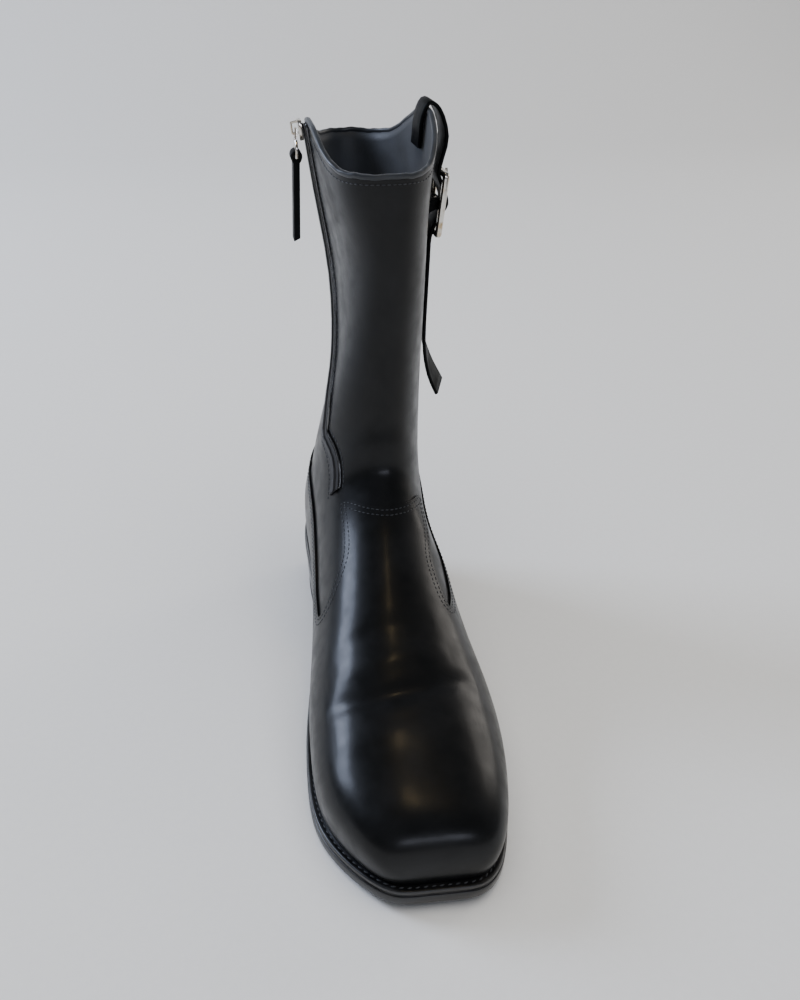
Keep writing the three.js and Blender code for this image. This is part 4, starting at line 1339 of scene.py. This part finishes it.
@dataclass(frozen=True)
class WornNickelPaintedReflection(Finish):
    """Nickel-plated steel, polished and handled: bright, with hairline scratches and dull spots.

    The scratches are drawn 0.5 mm apart, wider than real ones, so that they show. The brass tone in the
    dull spots is a painted warm reflection, not the plating's wear.
    """

    name: str = "worn_nickel_painted_reflection"
    colour: str = "#d9d6cf"
    # The second colour is brass: a painted warm reflection, laid in the dull spots.
    worn: str = "#b39a72"
    roughness: float = 0.1
    uneven: tuple[float, float] = (0.0, 0.2)
    patches: Pattern = Pattern(4.0, 5.0)
    patch_range: tuple[float, float] = (0.45, 0.75)
    dull_range: tuple[float, float] = (0.35, 0.75)
    relief: tuple[Relief, ...] = (Relief(Pattern(0.5, squeeze=(0.15, 1.0, 1.0)), 0.03, 0.2),)

    def sockets(self) -> dict[str, float]:
        """Makes it a metal."""
        return {"Metallic": 1.0}


@dataclass(frozen=True)
class StudioPaper(Finish):
    """Pale background paper from a roll: matt and nearly even. Its tooth is drawn at 4 mm."""

    name: str = "studio_paper"
    colour: str = "#e9e8e5"
    worn: str = "#e4e3e0"
    roughness: float = 0.85
    patches: Pattern = Pattern(4.0)
    relief: tuple[Relief, ...] = (Relief(Pattern(4.0), 0.1, 0.1),)


@dataclass
class Finishes:
    """All materials of the boot, each made once."""

    def __post_init__(self) -> None:
        """Makes the materials."""
        self.calf = BoxCalf().make()
        self.edge = EdgeLeather().make()
        self.rubber = MouldedRubber().make()
        self.lining = LiningLeather().make()
        self.binding = LiningLeather("collar_binding", "#111317", "#262b31", 0.4).make()
        # The threads' second colours lighten the plies' crests against painted shade between them.
        self.thread = WaxedThread("upper_thread", "#1a1c1e", "#35383d").make()
        self.welt_thread = WaxedThread("welt_thread", "#232426", "#47494c").make()
        self.tape = WovenTape().make()
        self.coil = CoilNylon().make()
        self.nickel = WornNickelPaintedReflection().make()
        self.piping = BoxCalf("piping_calf", roughness=0.22, gloss=0.8, glaze=0.1).make()
        self.strap = BoxCalf("strap_calf", roughness=0.5, gloss=0.05).make()


# Sub-assemblies -----------------------------------------------------------


@dataclass
class Upper:
    """The shaft with its lining, the vamp and counter laid on it, the zip's edges and the collar.

    Attributes:
        finishes: the materials.
        columns: faces of the shaft around.
        rows: faces of the shaft from the toe to the collar.
        layer_columns: faces around of the vamp's grid.
        layer_rows: its faces from the toe up.
        layer_top: the section where that grid ends, above the counter.
        layer_thickness: how thick the vamp's leather is.
        layer_weld: how near its points are joined.
        edge_round: how wide its cut edge is rounded.
        edge_angle: the smallest angle that counts as that edge, in degrees.
        snap: how near the seam a point of the grid is moved onto it.
        stitch_pitch: from one stitch to the next.
        stitch: a stitch's length, width and height.
        stitch_lift: how far above the leather a stitch's middle lies.
        seam_rows: how far the rows lie inside the vamp's edge.
        seam_pitch: the spacing of the points that the rows start from.
        seam_passes: how often these points are smoothed.
        binding: how thick the collar's binding is.
        binding_drop: how far down it reaches over the edge.
        binding_rise: how high its bow is, as a share of half its width.
        binding_slant: how far its lower edges are cut off.
        binding_steps: points around the collar.
        arch_steps: points over the bow.
        below: how many sections below the collar its direction is measured.
        uneven: how far the binding waves up and down.
        waves: each wave's count around half the collar, its share and its phase.
        collar_row: how many sections below the edge the collar's row lies.
        zip_steps: points along the zip.
        tape: the zip's width.
        nudge: the small step around that measures the last's width.
        piping: the radius of the folded leather edge.
        piping_place: how far that edge lies outside the tape, as a share of its radius.
        piping_height: how far above the leather its middle lies.
        piping_sides: faces around it.
        zip_row: how far outside the tape the zip's row lies.
        coil_top: how high above the last the coil's turns lie.
        coil_pitch: from one turn to the next.
        coil_turn: a turn's length along the zip, width and height.
        seam: the line where the vamp and the counter end.
    """

    finishes: Finishes
    columns: int = 150
    rows: int = 190
    layer_columns: int = 220
    layer_rows: int = 210
    layer_top: float = 20.5
    layer_thickness: float = 1.5
    layer_weld: float = 0.02
    edge_round: float = 0.35
    edge_angle: float = 55.0
    snap: float = 0.12
    stitch_pitch: float = 2.6
    stitch: tuple[float, float, float] = (2.0, 0.62, 0.5)
    stitch_lift: float = 0.05
    seam_rows: tuple[float, float] = (1.7, 4.6)
    seam_pitch: float = 0.9
    seam_passes: int = 6
    binding: float = 0.2
    binding_drop: float = 1.4
    binding_rise: float = 0.6
    binding_slant: float = 0.3
    binding_steps: int = 200
    arch_steps: int = 7
    below: float = 0.15
    uneven: float = 0.2
    waves: tuple[tuple[float, float, float], ...] = ((13.0, 1.0, 0.0), (31.0, 0.6, 1.0))
    collar_row: float = 0.26
    zip_steps: int = 160
    tape: float = 8.4
    nudge: float = 0.02
    piping: float = 0.75
    piping_place: float = 0.6
    piping_height: float = 0.35
    piping_sides: int = 8
    zip_row: float = 3.4
    coil_top: float = 2.1
    coil_pitch: float = 1.5
    coil_turn: tuple[float, float, float] = (1.0, 2.8, 0.8)
    seam: np.ndarray = field(default_factory=lambda: Seam().line())

    # The zip's middle line as places (s, a), from the collar down.
    ZIP: ClassVar = (
        (23.95, -0.52),
        (23.0, -0.535),
        (22.1, -0.53),
        (21.2, -0.49),
        (20.3, -0.43),
        (19.3, -0.37),
        (18.2, -0.33),
        (17.0, -0.32),
        (15.6, -0.335),
        (14.3, -0.37),
        (13.2, -0.4),
    )

    def sew(self, points: np.ndarray, ups: np.ndarray, closed: bool = False) -> Mesh:
        """Sews a row of the upper's stitches, just above the leather.

        Args:
            points: the row's points on the leather.
            ups: the leather's outward directions at them.
            closed: whether the row returns to its start.

        Returns:
            The stitches.
        """
        return stitches(points, ups, self.stitch_pitch, self.stitch, closed=closed)

    def shaft(self) -> None:
        """Builds the whole outer skin and its lining as one wall, open at the collar."""

        def place(u: np.ndarray, v: np.ndarray) -> np.ndarray:
            """Spreads the grid over the leather."""
            return LEATHER.skin(v * LAST.top, 2 * u - 1, 0.0)

        bm = patch(self.columns, self.rows, place)
        weld(bm)
        finishes = [self.finishes.calf, self.finishes.lining, self.finishes.binding]
        wall = thicken(piece("shaft", bm, finishes, "upper_leather", replaces=["upper"]), LAST.wall)
        wall.material_offset = 1
        wall.material_offset_rim = 2

    def inside_seam(self, s: np.ndarray, a: np.ndarray) -> np.ndarray:
        """Tells which places on the last lie under the vamp and the counter.

        Args:
            s: the places' sections.
            a: the places around.

        Returns:
            Whether each one does.
        """
        ring = np.vstack((self.seam, [[-1.0, 1.0], [-1.0, -1.0]]))
        after = np.roll(ring, -1, axis=0)
        inside = np.zeros(len(s), bool)
        for (s0, a0), (s1, a1) in zip(ring, after):
            if a0 == a1:
                continue
            crosses = (a0 > a) != (a1 > a)
            inside ^= crosses & (s < s0 + (a - a0) * (s1 - s0) / (a1 - a0))
        return inside

    def snap_to_seam(self, places: np.ndarray, edges: np.ndarray) -> tuple[np.ndarray, np.ndarray]:
        """Moves the grid's points next to the seam onto it, so that no edge crosses it.

        Args:
            places: rows of (s, a), changed in place.
            edges: pairs of point numbers.

        Returns:
            Whether each point is inside the seam, and whether it is on it.
        """
        inside = self.inside_seam(places[:, 0], places[:, 1])
        points = LAST.face(places[:, 0], places[:, 1])
        near, spots = to_track(points, LAST.face(self.seam[:, 0], self.seam[:, 1]))
        on_seam = near < self.snap
        crossing = edges[inside[edges[:, 0]] != inside[edges[:, 1]]]
        order = np.argsort(np.minimum(near[crossing[:, 0]], near[crossing[:, 1]]))
        for first, second in crossing[order]:
            if on_seam[first] or on_seam[second]:
                continue
            on_seam[first if near[first] < near[second] else second] = True
        back = np.abs(np.abs(places[:, 1]) - 1.0) < TINY
        keep_side = np.sign(places[:, 1])
        numbers = np.arange(len(self.seam))
        for k in (0, 1):
            places[on_seam, k] = np.interp(spots[on_seam], numbers, self.seam[:, k])
        places[back, 1] = keep_side[back]
        return inside, on_seam

    def split_at_seam(self, bm: Mesh, inside: np.ndarray, on_seam: np.ndarray) -> None:
        """Splits the grid's faces whose diagonal lies on the seam.

        Args:
            bm: the grid.
            inside: whether each point is inside the seam.
            on_seam: whether each point is on it.
        """
        bm.verts.ensure_lookup_table()
        split = []
        for face in bm.faces:
            corners = [v.index for v in face.verts]
            for k in (0, 1):
                pair, others = (corners[k], corners[k + 2]), (corners[1 - k], corners[3 - k])
                loose = [n for n in others if not on_seam[n]]
                if on_seam[pair[0]] and on_seam[pair[1]] and len(loose) == 2:
                    if inside[loose[0]] != inside[loose[1]]:
                        split.append(pair)
        for first, second in split:
            bmesh.ops.connect_verts(bm, verts=[bm.verts[first], bm.verts[second]])

    def vamp(self) -> None:
        """Builds the vamp and the counter as one leather layer with a clean, rounded edge."""
        bm, u, v = grid(self.layer_columns, self.layer_rows)
        places = np.stack((v * self.layer_top, 2 * u - 1), axis=1)
        edges = np.array([[vert.index for vert in edge.verts] for edge in bm.edges])
        inside, on_seam = self.snap_to_seam(places, edges)
        self.split_at_seam(bm, inside, on_seam)
        drop = []
        for face in bm.faces:
            corners = [vert.index for vert in face.verts]
            loose = [n for n in corners if not on_seam[n]]
            if loose:
                gone = not inside[loose[0]]
            else:
                middle = places[corners].mean(axis=0)
                gone = not self.inside_seam(middle[:1], middle[1:])[0]
            if gone:
                drop.append(face)
        settle(bm, LEATHER.skin(places[:, 0], places[:, 1], LAST.overlay))
        bmesh.ops.delete(bm, geom=drop, context="FACES")
        weld(bm, self.layer_weld)
        bmesh.ops.recalc_face_normals(bm, faces=bm.faces)
        surface = BVHTree.FromBMesh(bm)
        obj = piece("vamp_and_counter", bm, [self.finishes.calf], "upper_leather")
        thicken(obj, self.layer_thickness)
        round_edges(obj, self.edge_round, self.edge_angle)
        self.seam_stitches(surface)

    def seam_stitches(self, surface: BVHTree) -> None:
        """Sews the rows along the edge of the vamp and the counter.

        Args:
            surface: the outer face of the vamp and the counter.
        """
        edge = LEATHER.skin(self.seam[:, 0], self.seam[:, 1], LAST.overlay)
        points = resample(edge, self.seam_pitch)
        for _ in range(self.seam_passes):
            points[1:-1] = (points[:-2] + 2 * points[1:-1] + points[2:]) / 4
        normals = np.array([surface.find_nearest(Vector(p))[1] for p in points])
        inwards = unit(np.cross(unit(np.gradient(points, axis=0)), normals))
        rows = []
        for distance in self.seam_rows:
            hits = [surface.find_nearest(Vector(p)) for p in points + inwards * distance]
            spots = np.array([hit[0] for hit in hits])
            ups = np.array([hit[1] for hit in hits])
            rows.append(self.sew(spots + self.stitch_lift * ups, ups))
        piece("seam_stitches", join(rows), [self.finishes.thread], "upper_leather")

    def collar(self) -> None:
        """Lays the binding over the collar's edge and sews it."""
        a = np.linspace(-1.0, 1.0, self.binding_steps)[:-1]
        top = np.full_like(a, LAST.top)
        edge = LEATHER.skin(top, a, -LAST.wall / 2)
        rise = unit(edge - LEATHER.skin(top - self.below, a, -LAST.wall / 2))
        wave = sum(share * np.sin(count * np.pi * a + phase) for count, share, phase in self.waves)
        edge += rise * (self.uneven * wave)[:, None]
        arch = np.linspace(0.0, np.pi, self.arch_steps)
        half = LAST.wall / 2 + self.binding
        bow = np.stack((half * np.cos(arch), half * self.binding_rise * np.sin(arch)), axis=1)
        foot, slant = -self.binding_drop, self.binding_slant
        tips = [[-half, foot], [-half + slant, foot - slant], [half - slant, foot - slant], [half, foot]]
        bm = sweep(edge, LAST.outward(top, a), rise, np.vstack((bow, tips)), ring=True)
        piece("collar_binding", bm, [self.finishes.binding], "upper_leather")
        line = top - self.collar_row
        points = LEATHER.skin(line, a, self.stitch_lift)
        row = self.sew(points, LAST.outward(line, a), closed=True)
        piece("collar_stitches", row, [self.finishes.thread], "upper_leather")

    def zip_edges(self) -> None:
        """Lays a folded leather edge along each side of the zip, sews it, and winds the coil."""
        places = np.array(self.ZIP)
        fine = np.linspace(0, len(places) - 1, self.zip_steps)
        s, a = spline(places[:, 0], fine), spline(places[:, 1], fine)
        step = LAST.face(s, a + self.nudge) - LAST.face(s, a - self.nudge)
        wide = np.linalg.norm(step, axis=1) / (2 * self.nudge)
        angle = np.linspace(0.0, 2 * np.pi, self.piping_sides + 1)[:-1]
        profile = self.piping * np.stack((np.cos(angle), np.sin(angle)), axis=1)
        parts, rows = [], []
        for side in Side:
            edge = a + side.value * (self.tape / 2 + self.piping * self.piping_place) / wide
            path = LEATHER.skin(s, edge, self.piping_height)
            out = LAST.outward(s, edge)
            across = unit(np.cross(out, unit(np.gradient(path, axis=0))))
            parts.append(sweep(path, across, out, profile))
            beside = a + side.value * (self.tape / 2 + self.zip_row) / wide
            row = LEATHER.skin(s, beside, self.stitch_lift)
            rows.append(self.sew(row, LAST.outward(s, beside)))
        piece("zip_piping", join(parts), [self.finishes.piping], "upper_leather")
        piece("zip_stitches", join(rows), [self.finishes.thread], "upper_leather")
        middle = LAST.shell(s, a, self.coil_top)
        turns = stitches(middle, LAST.outward(s, a), self.coil_pitch, self.coil_turn)
        piece("zip_coil_turns", turns, [self.finishes.coil], "zip_coil")

    def build(self) -> None:
        """Builds every piece of the upper."""
        self.shaft()
        self.zip_edges()
        self.vamp()
        self.collar()


@dataclass
class Sole:
    """The outsole, the stitched welt, the heel with its top piece, and the insole.

    Attributes:
        finishes: the materials.
        around: points of the outline on each side.
        joint: the thin gap between two pieces.
        heel_edge: how wide the heel's edges are rounded.
        heel_middle: how high the heel's middle ring lies, as a share of the heel.
        heel_waist: how far in that ring lies, as a share of the heel's taper.
        corner: how far in and up the outsole's lower edge is cut, as shares of the bevel.
        groove: where the stitch groove runs, as a share of the welt's width.
        groove_half: half the groove's width.
        groove_depth: the groove's depth.
        stitch_sink: how far below the welt's face a stitch's middle lies.
        stitch_pitch: from one stitch to the next.
        stitch: a stitch's length, width and height.
        stitch_slant: how far a stitch turns from the row, in degrees.
    """

    finishes: Finishes
    around: int = 150
    joint: float = 0.06
    heel_edge: float = 0.4
    heel_middle: float = 0.45
    heel_waist: float = 0.6
    corner: tuple[float, float] = (0.35, 0.3)
    groove: float = 0.52
    groove_half: float = 0.7
    groove_depth: float = 0.35
    stitch_sink: float = 0.1
    stitch_pitch: float = 3.6
    stitch: tuple[float, float, float] = (2.5, 0.85, 0.7)
    stitch_slant: float = 12.0

    def reach(self, first: float) -> np.ndarray:
        """Gives how far the welt stands out around the sole, from section first."""
        return LAST.reach(LAST.outline(first, self.around)[0][:, 1])

    def stack(self, first: float, levels: Sequence[tuple], cap: bool = True) -> Mesh:
        """Stacks outlines of the sole into a shape.

        Args:
            first: the section that the outline starts at.
            levels: for each ring its distance from the feather line, the surface that it follows,
                as a function of y, and its height above that.
            cap: whether the first and last ring are filled, or else joined to each other.

        Returns:
            The shape.
        """
        base, out = LAST.outline(first, self.around)
        rings = []
        for reach, surface, rise in levels:
            ring = base + out * np.broadcast_to(reach, len(base))[:, None]
            ring[:, 2] = surface(ring[:, 1]) + rise
            rings.append(ring)
        return tube(np.array(rings), round_end=not cap)

    def outsole(self) -> None:
        """Builds the outsole with its rounded edges."""
        edge, bevel, thick = self.reach(0.0) + LAST.outsole_step, LAST.edge_bevel, LAST.outsole
        bottom, (inset, rise) = LAST.sole_bottom, self.corner
        levels = [
            (edge - bevel, bottom, 0.0),
            (edge - inset * bevel, bottom, rise * bevel),
            (edge, bottom, bevel),
            (edge, bottom, thick - bevel / 2),
            (edge - bevel / 6, bottom, thick - bevel / 6),
            (edge - bevel / 2, bottom, thick),
        ]
        bm = self.stack(0.0, levels)
        piece("outsole_edge", bm, [self.finishes.edge], "sole_leather", replaces=["outsole"])

    def welt(self) -> None:
        """Builds the welt with a stitch groove, and sews it."""
        reach, bevel, top = self.reach(0.0), LAST.edge_bevel, LAST.welt_top
        middle, inside = reach * self.groove, -(LAST.wall + LAST.gap)
        under = (LAST.sole_bottom, LAST.outsole + self.joint)
        levels = [
            (reach, *under),
            (reach, top, -bevel / 2),
            (reach - bevel / 6, top, -bevel / 6),
            (reach - bevel / 2, top, 0.0),
            (middle + self.groove_half, top, 0.0),
            (middle, top, -self.groove_depth),
            (middle - self.groove_half, top, 0.0),
            (inside, top, 0.0),
            (inside, *under),
        ]
        bm = self.stack(0.0, levels, cap=False)
        piece("welt_strip", bm, [self.finishes.edge], "sole_leather", replaces=["welt"])
        base, out = LAST.outline(0.0, self.around)
        points = base + out * middle[:, None]
        points[:, 2] = top(points[:, 1]) - self.stitch_sink
        ups = np.broadcast_to(UP, points.shape)
        row = stitches(points, ups, self.stitch_pitch, self.stitch, self.stitch_slant, closed=True)
        piece("welt_stitches", row, [self.finishes.welt_thread], "sole_leather")

    def heel(self) -> None:
        """Builds the stacked heel and its rubber top piece."""
        first = LAST.breast_section()
        edge = self.reach(first) + LAST.outsole_step
        taper, bevel, cap = LAST.heel_taper, LAST.edge_bevel, LAST.heel_cap

        def halfway(y: np.ndarray) -> np.ndarray:
            """Lies between the top piece and the outsole."""
            return mix(cap, LAST.sole_bottom(y) - self.joint, self.heel_middle)

        block = [
            (edge - taper, np.zeros_like, cap + self.joint),
            (edge - taper * self.heel_waist, halfway, 0.0),
            (edge - bevel / 2, LAST.sole_bottom, -self.joint),
        ]
        rubber = [
            (edge - taper - bevel / 2, np.zeros_like, 0.0),
            (edge - taper, np.zeros_like, bevel / 2),
            (edge - taper, np.zeros_like, cap),
        ]
        leather, moulded = self.finishes.edge, self.finishes.rubber
        for name, levels, finish, slot, solid in (
            ("stacked_heel", block, leather, "sole_leather", "heel_block"),
            ("heel_rubber", rubber, moulded, "top_piece", "heel_top_piece"),
        ):
            obj = piece(name, self.stack(first, levels), [finish], slot, replaces=[solid])
            round_edges(obj, self.heel_edge)

    def build(self) -> None:
        """Builds every piece of the sole."""
        self.outsole()
        self.welt()
        self.heel()
        dress("insole", self.finishes.lining)


@dataclass
class Fittings:
    """The zip's and the buckle's small parts and the strap, with the edges of real ones.

    Attributes:
        finishes: the materials.
        flat_angle: faces that meet at less than this are one face, in degrees.
        weld_gap: how near the solids' points are joined.
        metal_edge: how wide the metal's edges are rounded.
        leather_edge: how wide the leather's edges are rounded.
    """

    finishes: Finishes
    flat_angle: float = 1.5
    weld_gap: float = 0.002
    metal_edge: float = 0.25
    leather_edge: float = 0.45

    def soften(self, name: str, metal: bool, body: str = BOOT) -> None:
        """Builds a part with rounded edges over its solid.

        Args:
            name: the solid's name.
            metal: whether it is of metal, or else of leather.
            body: the body that it rides on.
        """
        bm = bmesh.new()
        bm.from_mesh(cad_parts[name].data)
        bmesh.ops.scale(bm, vec=(1 / MM, 1 / MM, 1 / MM), verts=bm.verts)
        weld(bm, self.weld_gap)
        flat = math.radians(self.flat_angle)
        bmesh.ops.dissolve_limit(bm, angle_limit=flat, verts=bm.verts, edges=bm.edges)
        bmesh.ops.recalc_face_normals(bm, faces=bm.faces)
        finish = self.finishes.nickel if metal else self.finishes.strap
        slot = "hardware" if metal else "upper_leather"
        obj = piece(f"{name}_fine", bm, [finish], slot, body, replaces=[name])
        round_edges(obj, self.metal_edge if metal else self.leather_edge)

    def build(self) -> None:
        """Builds the fittings on the boot and on the zip's pull."""
        for name in ("zip_slider", "buckle_prong", "buckle_frame"):
            self.soften(name, metal=True)
        self.soften("zip_puller", metal=True, body=PULL)
        for name in ("strap", "buckle_chape"):
            self.soften(name, metal=False)
        self.soften("pull_tab", metal=False, body=PULL)
        dress("zip_tape", self.finishes.tape)
        dress("zip_teeth", self.finishes.coil)


# The studio ---------------------------------------------------------------


@dataclass(frozen=True)
class SoftBox:
    """One soft box.

    Attributes:
        name: its name.
        place: where it hangs, in metres.
        size: its width and height, in metres.
        watts: its power.
        colour: its colour.
        mirrored: whether glossy leather shows it.
    """

    name: str
    place: tuple[float, float, float]
    size: tuple[float, float]
    watts: float
    colour: str
    mirrored: bool = True


@dataclass
class Studio:
    """The floor, the lights and the camera.

    Attributes:
        eye: the camera's place, in metres.
        heading: the level direction that it looks in.
        pitch: how far it looks down, in degrees.
        focal_px: its focal length, in pixels of the frame.
        frame_px: the frame's longer side.
        sensor: the sensor's longer side, in millimetres.
        zoom: how much larger the boot is shown than at that focal length.
        middle_px: how far the picture's middle is shifted from the camera's axis.
        aim: the point that the lights face, in metres.
        room: the strength of the room's own light.
        room_colour: the colour of the room's own light.
        sheet: the paper's length and width, in millimetres.
        sheet_rows: faces along the paper.
        bend: where the paper starts to rise behind the boot, in millimetres.
        bend_radius: how wide that bend is, in millimetres.
    """

    eye: tuple[float, float, float] = (-0.083, -0.4926, 0.370)
    heading: tuple[float, float] = (0.1144, 0.9934)
    pitch: float = 30.8
    focal_px: float = 820.0
    frame_px: float = 1000.0
    sensor: float = 36.0
    zoom: float = 1.12
    middle_px: tuple[float, float] = (78.0, -12.0)
    aim: tuple[float, float, float] = (0.0, -0.1, 0.12)
    room: float = 0.16
    room_colour: str = "#eceef2"
    sheet: float = 6000.0
    sheet_rows: int = 120
    bend: float = 1400.0
    bend_radius: float = 600.0

    # The ceiling only fills the shadows. The glaze would mirror it as a large grey patch.
    BOXES: ClassVar = (
        SoftBox("window", (-1.75, 0.85, 1.25), (0.75, 0.9), 42.0, "#d6e3ff"),
        SoftBox("lamp", (0.2, -0.05, 2.0), (0.25, 0.1), 1.6, "#ffe0a6"),
        SoftBox("front", (0.3, -2.3, 0.95), (1.3, 0.4), 9.0, "#e6ecff"),
        SoftBox("outer", (2.0, 0.9, 0.8), (0.6, 1.2), 10.0, "#fff8f0"),
        SoftBox("ceiling", (0.0, -0.2, 2.6), (3.0, 3.0), 66.0, "#ffffff", mirrored=False),
    )

    def floor(self) -> None:
        """Lays the paper, which rises softly behind the boot."""

        def place(u: np.ndarray, v: np.ndarray) -> np.ndarray:
            """Bends the sheet up at its back."""
            run = (v - 0.5) * self.sheet
            angle = np.clip((run - self.bend) / self.bend_radius, 0.0, np.pi / 2)
            rest = np.clip(run - self.bend - self.bend_radius * np.pi / 2, 0.0, None)
            y = np.minimum(run, self.bend) + self.bend_radius * np.sin(angle)
            z = self.bend_radius * (1 - np.cos(angle)) + rest
            return np.stack(((u - 0.5) * self.sheet, y, z), axis=1)

        shown("paper", patch(2, self.sheet_rows, place), [StudioPaper().make()])

    def hang(self, name: str, data: bpy.types.ID, place: Sequence[float], way: Vector) -> bpy.types.Object:
        """Puts a light or a camera in its place.

        Args:
            name: its name.
            data: the light or camera.
            place: where it is, in metres.
            way: the direction that it faces.

        Returns:
            Its object.
        """
        obj = bpy.data.objects.new(name, data)
        obj.location = place
        obj.rotation_euler = way.to_track_quat("-Z", "Y").to_euler()
        bpy.context.scene.collection.objects.link(obj)
        return obj

    def lights(self) -> None:
        """Hangs the soft boxes, which face the boot, and sets the room's own light."""
        for box in self.BOXES:
            data = bpy.data.lights.new(box.name, "AREA")
            data.shape = "RECTANGLE"
            data.size, data.size_y = box.size
            data.energy = box.watts
            data.color = linear(box.colour)[:3]
            obj = self.hang(box.name, data, box.place, Vector(self.aim) - Vector(box.place))
            obj.visible_glossy = box.mirrored
        world = bpy.data.worlds.new("room")
        bpy.context.scene.world = world
        world.use_nodes = True
        back = world.node_tree.nodes["Background"]
        back.inputs["Color"].default_value = linear(self.room_colour)
        back.inputs["Strength"].default_value = self.room

    def camera(self) -> None:
        """Sets the camera to the photograph's angle."""
        data = bpy.data.cameras.new("camera")
        data.sensor_fit = "AUTO"
        data.sensor_width = self.sensor
        data.lens = self.sensor * self.focal_px / self.frame_px * self.zoom
        data.shift_x = self.middle_px[0] / self.frame_px * self.zoom
        data.shift_y = self.middle_px[1] / self.frame_px * self.zoom
        down = math.tan(math.radians(self.pitch)) * math.hypot(*self.heading)
        way = Vector((*self.heading, -down))
        bpy.context.scene.camera = self.hang("camera", data, self.eye, way)

    def build(self) -> None:
        """Sets up the whole studio."""
        self.camera()
        self.floor()
        self.lights()


def main() -> None:
    """Builds the studio and each sub-assembly in order."""
    logging.basicConfig(level=logging.INFO, format="%(name)s %(message)s")
    Studio().build()
    finishes = Finishes()
    Upper(finishes).build()
    Sole(finishes).build()
    Fittings(finishes).build()


if __name__ == "__main__":
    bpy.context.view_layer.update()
    main()
